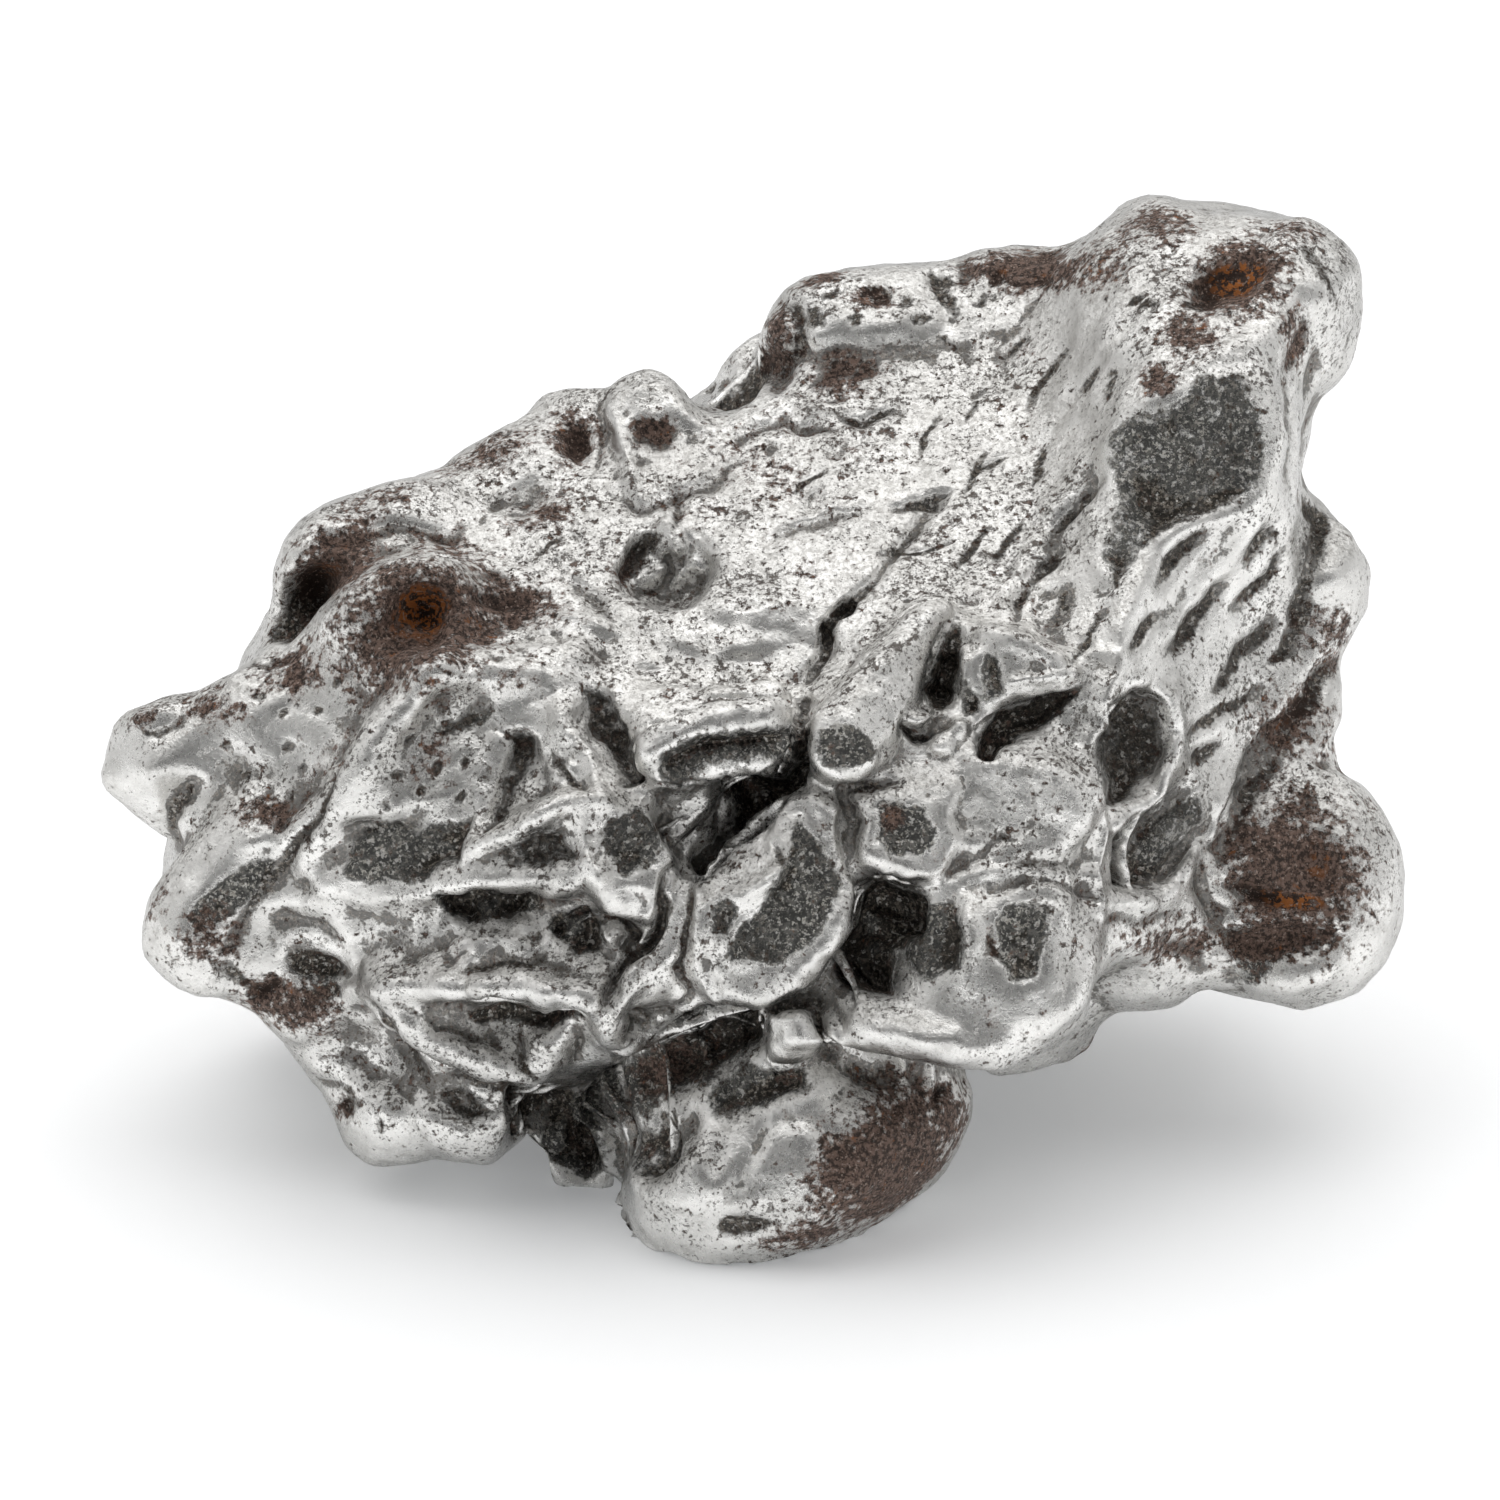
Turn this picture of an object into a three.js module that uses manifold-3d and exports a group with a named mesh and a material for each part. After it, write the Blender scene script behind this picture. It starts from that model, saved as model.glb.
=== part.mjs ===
// An iron meteorite: one solid lump of nickel-iron, 65 mm long, resting on its own lobes.
// Millimetres, +Z up. The origin is on the surface it rests on, under the middle of its box.
//
// The stone is laid out on a drawing board that leans back against it, the way a sculptor looks at a
// face: across is to the right, up is up the board, and out is how far a point stands out towards
// the viewer's eye. A point keeps its place on the board however far out it is, because it moves
// along its own line of sight. The shape is one field, below zero inside the metal: a block cut by
// flat faces, with lobes melted on to it and hollows melted out of it. A ball of small triangles is
// then shrunk on to that field, and the feet are ground flat where the stone has settled.
import * as THREE from "three";
import { mergeVertices } from "three/addons/utils/BufferGeometryUtils.js";
import Module from "manifold-3d";

// ---- Driving dimensions, in millimetres and degrees ----
const BOARD_LEAN = 25; // the board leans back this far from upright
const EYE_DISTANCE = 400; // from the board's centre to the viewer's eye
const BOARD_CENTRE = new THREE.Vector3(-0.1, -1.78, 19.8); // the board's centre in the stone's frame
const SKIN_DETAIL = 22; // each side of an icosahedron's faces is cut into this many plus one
const BLOCK_ROUNDING = 3.2; // how softly the block's flat faces meet
const LOBE_MELT = 1.3; // how softly a lobe joins the metal around it
const HOLLOW_MELT = 0.9; // how softly the lip of a hollow is rounded
const FOOT_GRIND = 0.25; // how much is worn off the feet, to lie flat

const { sin, cos, hypot, min, max, PI } = Math;
const radians = (degrees) => (degrees * PI) / 180;

// ---- The drawing board ----
const RIGHT = new THREE.Vector3(1, 0, 0);
const UP_BOARD = new THREE.Vector3(0, sin(radians(BOARD_LEAN)), cos(radians(BOARD_LEAN)));
const OUT = new THREE.Vector3(0, -cos(radians(BOARD_LEAN)), sin(radians(BOARD_LEAN)));

// A point of the stone's frame as [across, up, out] on the board.
function onBoard(point) {
  const away = point.clone().sub(BOARD_CENTRE);
  const out = away.dot(OUT);
  const spread = EYE_DISTANCE / (EYE_DISTANCE - out);
  return [away.dot(RIGHT) * spread, away.dot(UP_BOARD) * spread, out];
}

// The point of the stone's frame that is seen at [across, up], this far out.
function inFrame([across, up, out]) {
  const spread = (EYE_DISTANCE - out) / EYE_DISTANCE;
  return BOARD_CENTRE.clone()
    .addScaledVector(RIGHT, across * spread)
    .addScaledVector(UP_BOARD, up * spread)
    .addScaledVector(OUT, out);
}

// ---- The blocks: flat faces, each by a point on it and the way it looks ----
const face = (point, looks) => {
  const length = hypot(...looks);
  return { point, looks: looks.map((x) => x / length) };
};
const BODY_FACES = [
  face([0, 2, 11.5], [-0.08, 0.66, 0.74]), // the broad upper face
  face([0, -6, 12], [0, -0.12, 0.99]), // the front
  face([-14, -3, 10.5], [-0.42, -0.04, 0.9]), // the front, turning away to the left
  face([16.5, 0, 11.5], [0.69, -0.02, 0.72]), // the right flank
  face([0, -15.5, 10.5], [0.05, -0.75, 0.66]), // under the front
  face([-15, -13, 8.2], [-0.22, -0.8, 0.55]), // under the front, left
  face([-24.2, 6, 0], [-0.88, 0.47, 0.1]), // upper left end
  face([-29.5, -3, 0], [-0.98, -0.05, 0.1]), // left end
  face([-24.5, -13, 0], [-0.7, -0.7, 0.1]), // lower left
  face([-3, 17.6, -6], [-0.375, 0.92, 0.05]), // the top edge
  face([27.2, 5, -2], [1, 0, 0.15]), // right end
  face([20, -10.5, -2], [0.3, -0.95, 0]), // lower right
  face([0, -17.3, 0], [0, -0.906, -0.42]), // the underside
  face([0, 0, -19], [0.1, -0.1, -1]), // the back
  face([10, 14, -16], [0.15, 0.6, -0.75]), // the back, above
  face([-20, 2, -14], [-0.6, 0.25, -0.75]), // the back, left
];
const PROW_FACES = [
  face([21.8, 19.4, 6.6], [-0.05, 0.72, 0.69]), // the top, which carries on the upper face
  face([22, 15, 7.4], [0.03, 0.02, 1]), // the flat front
  face([17.6, 14, 6.4], [-0.8, 0.3, 0.5]), // its left side, which looks over the upper face
  face([26.6, 16, 6.2], [0.86, 0.05, 0.5]), // its right edge
  face([27.6, 16, 0], [1, 0, 0.05]), // its right side
  face([22.4, 10.6, 7.4], [0.4, -0.6, 0.7]), // under the flat front
  face([22, 27, -4], [0.06, 1, 0.1]), // its top end
  face([22, 6, -6], [0, -1, 0]), // its foot, inside the body
  face([22, 16, -12], [0, 0.1, -1]), // its back
];

// How far out the block's front stands at a place on the board.
function frontAt(across, up) {
  const outs = BODY_FACES.filter(({ looks }) => looks[2] > 0.5).map(
    ({ point, looks }) =>
      point[2] - (looks[0] * (across - point[0]) + looks[1] * (up - point[1])) / looks[2],
  );
  return min(...outs);
}

// ---- Melting: the smooth least and the smooth most of two numbers ----
function meltedMin(a, b, width) {
  const h = max(width - Math.abs(a - b), 0) / width;
  return min(a, b) - (h * h * width) / 4;
}
const meltedMax = (a, b, width) => -meltedMin(-a, -b, width);

// ---- Lobes and hollows ----
// A block bounded by its faces, whose edges are this round.
function block(faces, rounding, centre, reach) {
  return {
    centre,
    reach,
    distance: (p) =>
      faces
        .map(({ point, looks }) => looks.reduce((sum, x, k) => sum + x * (p[k] - point[k]), 0))
        .reduce((most, over) => meltedMax(most, over, rounding)),
  };
}

// A ball squeezed to its radii, and turned this many degrees anticlockwise on the board.
// The boxier it is, the flatter its top and sides: 2 is round.
function ball([across, up, out], [ra, ru, ro], turn = 0, boxiness = 2) {
  const c = cos(radians(turn));
  const s = sin(radians(turn));
  const reach = max(ra, ru, ro);
  return {
    centre: [across, up, out],
    reach,
    distance([x, y, z]) {
      const dx = x - across;
      const dy = y - up;
      const along = c * dx + s * dy;
      const over = c * dy - s * dx;
      const dz = z - out;
      const round = hypot(along / ra, over / ru, dz / ro);
      const slope = hypot(along / ra ** 2, over / ru ** 2, dz / ro ** 2);
      if (slope < 1e-9) return -min(ra, ru, ro);
      const unit =
        boxiness === 2
          ? round
          : (Math.abs(along / ra) ** boxiness +
              Math.abs(over / ru) ** boxiness +
              Math.abs(dz / ro) ** boxiness) **
            (1 / boxiness);
      return (round * (unit - 1)) / slope;
    },
  };
}

// A rod along a chain of [across, up, out] points, from one radius to another, squeezed in and out.
function rod(points, from, to = from, squeeze = 1) {
  const centre = [0, 1, 2].map((k) => (points[0][k] + points.at(-1)[k]) / 2);
  const reach =
    max(from, to) / min(1, squeeze) +
    max(...points.map((p) => hypot(...p.map((x, k) => x - centre[k]))));
  return {
    centre,
    reach,
    distance(p) {
      let least = Infinity;
      for (let i = 0; i + 1 < points.length; i++) {
        const a = points[i];
        const b = points[i + 1];
        const run = [b[0] - a[0], b[1] - a[1], (b[2] - a[2]) * squeeze];
        const off = [p[0] - a[0], p[1] - a[1], (p[2] - a[2]) * squeeze];
        const dot = run[0] * off[0] + run[1] * off[1] + run[2] * off[2];
        const t = min(1, max(0, dot / (run[0] ** 2 + run[1] ** 2 + run[2] ** 2)));
        const radius = from + ((to - from) * (i + t)) / (points.length - 1);
        const gap = hypot(off[0] - t * run[0], off[1] - t * run[1], off[2] - t * run[2]);
        least = min(least, gap - radius);
      }
      return least;
    },
  };
}

const add = (shape, melt = LOBE_MELT) => ({ shape, melt, cut: false });
const cut = (shape, melt = HOLLOW_MELT) => ({ shape, melt, cut: true });
// A lobe on the block's front that rises this far from it.
const lobe = ([across, up], [ra, ru, ro], turn, rise, melt) =>
  add(ball([across, up, frontAt(across, up) + rise - ro], [ra, ru, ro], turn, 3), melt);
// A bowl sunk this deep into the block's front.
const hollow = ([across, up], [ra, ru], turn, depth, melt) =>
  cut(ball([across, up, frontAt(across, up)], [ra, ru, depth], turn), melt);
// A rib along the block's front, and a groove into it.
const rib = (places, from, to, rise, melt) =>
  add(rod(places.map(([a, u]) => [a, u, frontAt(a, u) + rise - from]), from, to), melt);
const groove = (places, width, depth, melt) =>
  cut(rod(places.map(([a, u]) => [a, u, frontAt(a, u)]), width, width, width / depth), melt);

const BODY = block(BODY_FACES, BLOCK_ROUNDING, [0, 0, 0], 60);
const MIDDLE = [1, -1, -3];

// Where the line that leaves the middle this way comes out of the body.
function leavesAt(way) {
  let inside = 0;
  let outside = 60;
  while (outside - inside > 0.01) {
    const half = (inside + outside) / 2;
    if (BODY.distance(MIDDLE.map((x, k) => x + way[k] * half)) < 0) inside = half;
    else outside = half;
  }
  return MIDDLE.map((x, k) => x + way[k] * inside);
}
const pointing = (way) => way.map((x) => x / hypot(...way));

// A round dent pressed into the body where this way leaves it, and a round swelling there.
const thumbprint = (way, radius, depth, melt = 1.4) => {
  const out = pointing(way);
  const place = leavesAt(out).map((x, k) => x + out[k] * (radius - depth));
  return cut(ball(place, [radius, radius, radius]), melt);
};
const swelling = (way, radius, rise, melt = 1.6) => {
  const out = pointing(way);
  const place = leavesAt(out).map((x, k) => x - out[k] * (radius - rise));
  return add(ball(place, [radius, radius, radius]), melt);
};

const FORM = [
  // The left end: the nose, and the long lobe under it.
  add(ball([-28.4, -0.4, 2], [4.5, 2.8, 3.2], -6)),
  add(ball([-30.3, -1.2, 1.4], [2.5, 3.0, 3.2], 24)),
  add(rod([[-24.5, 1.6, 3.5], [-28, 0.8, 2.2]], 2.6, 1.9)),
  add(rod([[-24.6, -4.2, 4.6], [-27.4, -9.2, 3.6]], 2.6, 3.4), 1.4),
  groove([[-28, -2.4], [-29.6, -4.2]], 0.9, 4),
  add(ball([-23.4, -12.4, 3.6], [3.0, 2.0, 3.2], -24)),
  groove([[-26, -9.8], [-24, -12.2], [-26.4, -13.4]], 0.6, 3),
  // The lower left lobes.
  add(ball([-18.3, -18.0, 1.2], [2.6, 3.1, 4.2], 12)),
  add(ball([-20.6, -15.0, 1], [2.6, 2, 3], -35)),
  add(ball([-14, -18.2, 2.8], [4.1, 2.6, 4.0], -6)),
  // The front foot, a long lobe that rises to the right.
  add(ball([1.8, -20.6, 3.4], [8.4, 4.9, 7.8], 24, 2.3), 1.2),
  add(ball([-3.0, -21.2, 5], [3.6, 2.6, 5.6], 32), 1.2),
  add(ball([7.6, -18.6, 3], [4.1, 3.0, 5.2], 46), 1.4),
  // The lobes seen under the right side.
  add(ball([14.6, -13.4, -1], [4.4, 2.3, 4.2], 38)),
  add(ball([20, -10.9, 0.5], [3.2, 2.2, 4], 8)),
  add(ball([24, -9.4, 1], [3, 2.0, 3.4], 0)),
  // The right-hand lobe.
  add(ball([27.9, -6.7, -1], [4.9, 5.4, 5.4], 4, 2.3), 1.4),
  add(ball([27.4, -9.8, 0], [4.2, 3.2, 4.2], -4), 1.4),
  add(ball([28.2, -3.0, -1], [2.4, 3.2, 3.6], 30)),
  // The knobs down the right end.
  add(ball([28.6, 8, -2], [2.5, 3.4, 3.6], -12)),
  add(ball([27.4, 11, -2.5], [1.8, 1.8, 3], 30)),
  add(ball([27.3, 2.5, -1], [2.4, 3.6, 4], 0)),
  // The prow: a block with a flat front, and a ridge that runs down from it.
  add(block(PROW_FACES, 1.8, [22, 17, -2], 18), 1.6),
  add(ball([27.6, 23.0, -2.4], [3.1, 3.7, 5], -20), 1.4),
  add(ball([28.6, 20.6, -5], [2.1, 2.6, 4.4], -10), 1.2),
  cut(ball([29.6, 14.8, -4], [2.2, 2.4, 9], 0), 1),
  cut(ball([31.4, -0.2, -3], [2.6, 1.1, 8], 0), 0.8),
  add(ball([19.8, 24.7, -7], [3, 2.9, 4], 30), 1.4),
  cut(ball([15.2, 26.8, -4], [3, 2.2, 9], 40), 1.2),
  add(rod([[20.4, 11.4, 5.2], [18.4, 8, 7.4], [17.6, 3.4, 8.8]], 2.6, 2.2), 1.8),
  // The knobs along the top edge.
  add(ball([12.2, 21.6, -8.6], [4.1, 3.4, 4.4], 2)),
  add(ball([6.4, 21.3, -8.6], [4.6, 3.0, 4.6], 6, 2.5), 1.4),
  add(ball([2.9, 20.6, -7.2], [2.4, 3.0, 3.4], -16), 1.2),
  add(ball([-0.4, 19.2, -13], [2.4, 2.1, 3], 20)),
  add(ball([-5, 16.0, -4.6], [2.9, 3.3, 3.8], 0)),
  add(ball([-8.6, 16.4, -7], [2.6, 2.2, 3.6], 20)),
  add(ball([-11.8, 13.5, -4.8], [4.6, 2.6, 4.2], 24), 1.6),
  add(ball([-18.2, 10.7, -2.0], [5.2, 2.6, 4.4], 20), 1.6),
  add(ball([-21.6, 9, 0.4], [2.2, 3.2, 3.8], -20)),
  cut(ball([-1.6, 18.4, -4.4], [1.7, 1.5, 3], 30)),
  // The rusty hump and its crater, and the cave beside it.
  lobe([-17.4, 6.0], [4.2, 3.4, 4], 20, 2.0),
  hollow([-16.4, 7], [1.5, 1.3], 20, 2.2),
  cut(rod([[-21, 8.4, 7], [-23.6, 6, 5.4]], 1.2, 0.8, 0.3)),
  // The left slab: a bright ridge runs up it and over the top.
  rib([[-22, -5.2], [-18.4, -0.6], [-15.4, 3.2]], 1.3, 1.5, 1.8),
  rib([[-15.4, 3.2], [-11.4, 3.6], [-8.8, 4.4]], 1.5, 1.2, 1.2),
  hollow([-11.6, -0.8], [1.9, 3.0], -14, 2.0),
  hollow([-7.2, 1], [0.9, 2.8], 32, 2.2),
  rib([[-14, -5.2], [-10.2, -3.4], [-7.4, -3]], 0.9, 1.0, 0.8),
  lobe([-6.2, -5.6], [2.3, 2.3, 2.6], 0, 1.2),
  rib([[-21, -6.0], [-16.4, -5.6], [-8.8, -5.8]], 1.2, 1.0, 1.0),
  hollow([-12.4, -8.1], [2.9, 1.0], 6, 2.4),
  hollow([-8.2, -9.7], [1.5, 1.1], 10, 2.4),
  rib([[-18.8, -11.7], [-12.6, -11.4], [-7.8, -12.2]], 0.9, 1.0, 1.1),
  hollow([-12.2, -13.2], [2.2, 0.7], 8, 1.6),
  rib([[-18.6, -12.8], [-15, -14.6], [-10.4, -16.2]], 1.0, 1.2, 2.4),
  hollow([-22, -10.9], [1.9, 0.9], 20, 2.0),
  groove([[-21.4, -4.6], [-23.2, -7], [-26, -10]], 0.5, 2.2),
  // The middle: lip, finger, almond and the black cleft between them.
  rib([[-4.6, -0.2], [-1, 0.8], [1.7, 0.8]], 1.4, 1.7, 2.2),
  rib([[4.6, 0.5], [7, 3.2], [9.2, 6.2]], 1.9, 1.4, 2.4),
  groove([[2.6, 2.4], [2.3, -0.6]], 0.5, 3),
  groove([[1.6, -1.8], [-0.8, -2.8], [-3, -5.4]], 1.0, 4.4),
  lobe([1, -8.2], [4.1, 3.5, 3.4], 38, 2.2),
  lobe([2.8, -4.3], [2.0, 1.9, 2.2], 0, 1.2),
  lobe([-3.8, -9.2], [1.2, 2.4, 2], 0, 0.7),
  rib([[-5.2, -11], [-6.8, -14.2]], 0.9, 0.9, 0.8),
  lobe([7.6, -4], [2.4, 2.7, 2.6], 0, 1.6),
  hollow([9.8, 3.8], [0.9, 2.9], -12, 3.4),
  lobe([13.2, 4.2], [2.6, 1.6, 2], -10, 1.2),
  hollow([13.2, 1.3], [2.3, 1.0], 24, 2.8),
  lobe([13.5, -3], [3.3, 2.8, 2.6], 0, 1.2),
  lobe([12.4, -10.6], [4.7, 4.7, 4.6], 0, 2.6),
  rib([[5, -13.4], [8.6, -14.0], [12.2, -14.4]], 1.5, 1.8, 2.4),
  groove([[6.8, -7.4], [6, -9.6], [3.6, -12.8]], 1.4, 3.8),
  // The chasm above the front foot.
  cut(ball([-9.4, -19, 9], [2.7, 2.6, 10.5], 0)),
  cut(rod([[-7.8, -18.4, 7], [-3.4, -16.0, 8.4], [0.2, -14.2, 10.2]], 2.2, 1.3, 0.24)),
  lobe([2.1, -14.2], [1.3, 1.4, 1.6], 0, 0.6),
  add(ball([-8.6, -21.2, -0.6], [2.2, 1.2, 2.6], -14)),
  hollow([-14.3, -17.7], [2.0, 1.0], -8, 1.6),
  // Hollows on the upper face and the right flank.
  hollow([-4, 9], [2.2, 2.2], 0, 2.4),
  hollow([-1, 5], [5.4, 2.0], 0, 1.0, 2),
  hollow([15.7, 7], [1.1, 2.0], -10, 3),
  hollow([19, 0], [1.7, 3.0], -12, 2.8),
  rib([[21, 2.8], [20.9, -0.6], [18.8, -3.2]], 0.6, 0.6, 0.5),
  hollow([20.8, -4.3], [1.6, 2.9], -38, 2.4),
  groove([[26, -0.2], [23.8, -4.6]], 0.8, 2.8),
  hollow([27.6, 2.2], [0.9, 2.3], -35, 2.4),
  hollow([26, -8.8], [2.2, 1.5], 10, 2),
  // Thumbprints and swellings round the back, the ends and the underside.
  thumbprint([-0.62, 0.42, -0.66], 8, 2.6),
  thumbprint([-0.18, 0.5, -0.85], 7, 2.4),
  thumbprint([0.3, 0.62, -0.72], 7.5, 2.6),
  thumbprint([0.78, 0.44, -0.45], 7, 2.2),
  thumbprint([-0.44, 0.02, -0.9], 9, 3.0),
  thumbprint([0.06, 0.1, -1], 7, 2.6),
  thumbprint([0.52, 0.12, -0.84], 8, 2.8),
  thumbprint([0.94, 0.0, -0.36], 6, 2.0),
  thumbprint([-0.86, -0.05, -0.5], 7, 2.4),
  thumbprint([-0.2, -0.42, -0.88], 7, 2.2),
  thumbprint([0.34, -0.36, -0.86], 7, 2.4),
  thumbprint([0.76, -0.4, -0.5], 6, 2.0),
  thumbprint([-0.66, -0.56, -0.5], 6, 2.0),
  thumbprint([0.1, -0.86, -0.5], 7, 2.2),
  thumbprint([-0.36, -0.9, -0.2], 6, 1.8),
  thumbprint([0.56, -0.8, -0.2], 6, 1.8),
  thumbprint([-0.98, 0.1, -0.14], 5, 1.5),
  thumbprint([1, 0.36, -0.2], 5, 1.6),
  thumbprint([0.08, 0.78, -0.62], 5, 1.6),
  thumbprint([-0.3, 0.92, -0.3], 5, 1.4),
  swelling([-0.36, 0.32, -0.9], 4, 1.3),
  swelling([0.12, 0.4, -0.9], 3.4, 1.2),
  swelling([0.5, 0.42, -0.72], 3.8, 1.4),
  swelling([-0.7, 0.14, -0.64], 4, 1.4),
  swelling([0.26, -0.14, -0.94], 4.2, 1.5),
  swelling([0.76, -0.14, -0.6], 3.6, 1.4),
  swelling([-0.14, -0.16, -0.96], 3.6, 1.2),
  swelling([-0.52, -0.34, -0.74], 4, 1.4),
  swelling([0.3, 0.9, -0.4], 3.4, 1.2),
  // The back feet.
  add(ball(onBoard(new THREE.Vector3(-13.2, 8, 5.4)), [6, 5.4, 6], 0), 3),
  add(ball(onBoard(new THREE.Vector3(13, 9, 5.2)), [6, 5.2, 6], 0), 3),
];

// ---- The field ----
function field(p) {
  let f = BODY.distance(p);
  for (const { shape, melt, cut } of FORM) {
    const { centre, reach } = shape;
    const away = hypot(p[0] - centre[0], p[1] - centre[1], p[2] - centre[2]) - reach;
    if (away > melt + (cut ? 1 : max(0, f)) + 3) continue;
    const g = shape.distance(p);
    f = cut ? meltedMax(f, -g, melt) : meltedMin(f, g, melt);
  }
  return f;
}

function uphill(p) {
  const step = 0.05;
  return [0, 1, 2].map((k) => {
    const ahead = [...p];
    const behind = [...p];
    ahead[k] += step;
    behind[k] -= step;
    return (field(ahead) - field(behind)) / (2 * step);
  });
}

// ---- The skin: a ball of small triangles shrunk on to the field ----
const SHRINK_FROM = 60;
const FRONT_CROWDING = 0.35; // how far the ball's triangles crowd towards the eye
const SETTLING_ROUNDS = 8;

function wrappedSkin() {
  const sphere = new THREE.IcosahedronGeometry(1, SKIN_DETAIL);
  sphere.deleteAttribute("normal");
  sphere.deleteAttribute("uv");
  const skin = mergeVertices(sphere, 1e-4);
  const index = skin.index.array;
  const count = skin.attributes.position.count;
  const neighbours = Array.from({ length: count }, () => new Set());
  for (let i = 0; i < index.length; i += 3)
    for (let k = 0; k < 3; k++) {
      neighbours[index[i + k]].add(index[i + ((k + 1) % 3)]);
      neighbours[index[i + k]].add(index[i + ((k + 2) % 3)]);
    }
  const points = [];
  const direction = new THREE.Vector3();
  for (let i = 0; i < count; i++) {
    direction.fromBufferAttribute(skin.attributes.position, i);
    direction.z += FRONT_CROWDING;
    direction.normalize();
    points.push(firstTouch(direction.toArray()));
  }
  for (let round = 0; round < SETTLING_ROUNDS; round++)
    for (let i = 0; i < count; i++) settle(points, i, neighbours[i]);
  return { index, points };
}

// Where a line from outside towards the middle first meets the metal.
function firstTouch(direction) {
  let far = SHRINK_FROM;
  const at = (r) => MIDDLE.map((c, k) => c + r * direction[k]);
  for (let step = 0; step < 400 && far > 1; step++) {
    const gap = field(at(far));
    if (gap < 0.02) break;
    far -= max(0.03, gap * 0.6);
  }
  return at(far);
}

// Moves a point towards the middle of its neighbours along the surface, then back on to the field.
function settle(points, i, around) {
  const p = points[i];
  const slope = uphill(p);
  const steep = slope[0] ** 2 + slope[1] ** 2 + slope[2] ** 2 || 1;
  const middle = [0, 0, 0];
  for (const j of around) for (let k = 0; k < 3; k++) middle[k] += points[j][k] / around.size;
  const pull = middle.map((m, k) => m - p[k]);
  const lift = (pull[0] * slope[0] + pull[1] * slope[1] + pull[2] * slope[2]) / steep;
  const off = max(-0.6, min(0.6, field(p)));
  for (let k = 0; k < 3; k++)
    p[k] += 0.6 * (pull[k] - lift * slope[k]) - (off * slope[k]) / steep;
}

// ---- The stone ----
const wasm = await Module();
wasm.setup();

function solidFrom(positions, index) {
  return new wasm.Manifold(
    new wasm.Mesh({
      numProp: 3,
      vertProperties: new Float32Array(positions),
      triVerts: new Uint32Array(index),
    }),
  );
}

// The slab of floor that grinds the feet flat.
function floorSlab() {
  const slab = new THREE.BoxGeometry(200, 200, 20).translate(0, 0, -10);
  slab.deleteAttribute("normal");
  slab.deleteAttribute("uv");
  const merged = mergeVertices(slab);
  return solidFrom(merged.attributes.position.array, merged.index.array);
}

function stoneGeometry() {
  const { index, points } = wrappedSkin();
  const positions = points.flatMap((p) => {
    const { x, y, z } = inFrame(p);
    return [x, y, z - FOOT_GRIND];
  });
  const mesh = solidFrom(positions, index).subtract(floorSlab()).getMesh();
  const geometry = new THREE.BufferGeometry();
  geometry.setAttribute("position", new THREE.BufferAttribute(mesh.vertProperties, 3));
  geometry.setIndex(new THREE.BufferAttribute(mesh.triVerts, 1));
  geometry.computeVertexNormals();
  return geometry;
}

const iron = new THREE.MeshStandardMaterial({ color: 0x9a9995, roughness: 0.35, metalness: 1 });
const meteorite = new THREE.Mesh(stoneGeometry(), iron);
meteorite.name = "meteorite";

const stone = new THREE.Group();
stone.add(meteorite);
export default stone;
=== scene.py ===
# %% [markdown]
# # An iron meteorite
# One lump of nickel-iron the size of a large egg. The imported solid gives its shape and its size.
# Here it gets its fine skin: dents, folds, clefts and pits, bright worn metal, dark film with painted dark
# reflection in the dents, painted shade in the clefts and brown rust. The imported solid itself is loaded
# first and is never changed.

import math

import bmesh
import bpy
import numpy as np
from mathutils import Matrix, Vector


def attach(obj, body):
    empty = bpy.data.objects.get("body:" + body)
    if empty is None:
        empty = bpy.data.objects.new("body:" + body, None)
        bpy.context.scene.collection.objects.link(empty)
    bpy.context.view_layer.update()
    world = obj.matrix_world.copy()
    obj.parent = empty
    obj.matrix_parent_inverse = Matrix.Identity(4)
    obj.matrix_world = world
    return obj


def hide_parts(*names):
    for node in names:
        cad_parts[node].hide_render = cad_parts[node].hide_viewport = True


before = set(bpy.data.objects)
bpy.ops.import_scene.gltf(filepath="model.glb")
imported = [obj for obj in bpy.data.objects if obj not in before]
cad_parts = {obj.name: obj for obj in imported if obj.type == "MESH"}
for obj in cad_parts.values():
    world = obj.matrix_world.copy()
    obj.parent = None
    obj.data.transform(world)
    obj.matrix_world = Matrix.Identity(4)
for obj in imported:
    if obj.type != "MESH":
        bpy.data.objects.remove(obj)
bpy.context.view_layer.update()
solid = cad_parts["meteorite"]

# %% [markdown]
# ## A drawing board to place marks on
# Every mark on the stone's face is placed as a sculptor would point to it: so far across, so far
# up, on a board that leans back 25 degrees in front of the stone. A point keeps its place on the
# board however far out it stands, because it moves along its own line of sight to the viewer's eye.
# All lengths of the marks are in millimetres.

# %% The drawing board
LEAN = math.radians(25)
EYE_DISTANCE = 400.0
BOARD_CENTRE = np.array([-0.1, -1.78, 19.55])
BOARD_SIDE = 75.0
TO_MM = 1000.0
TO_METRES = 0.001
RIGHT = np.array([1.0, 0.0, 0.0])
UP_BOARD = np.array([0.0, math.sin(LEAN), math.cos(LEAN)])
OUT = np.array([0.0, -math.cos(LEAN), math.sin(LEAN)])
EYE = BOARD_CENTRE + EYE_DISTANCE * OUT


def on_board(points):
    """Across, up and out of points in the stone's frame, all in millimetres."""
    away = points - BOARD_CENTRE
    out = away @ OUT
    spread = EYE_DISTANCE / (EYE_DISTANCE - out)
    return (away @ RIGHT) * spread, (away @ UP_BOARD) * spread, out


print("the eye is at", EYE.round(1), "mm")

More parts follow.
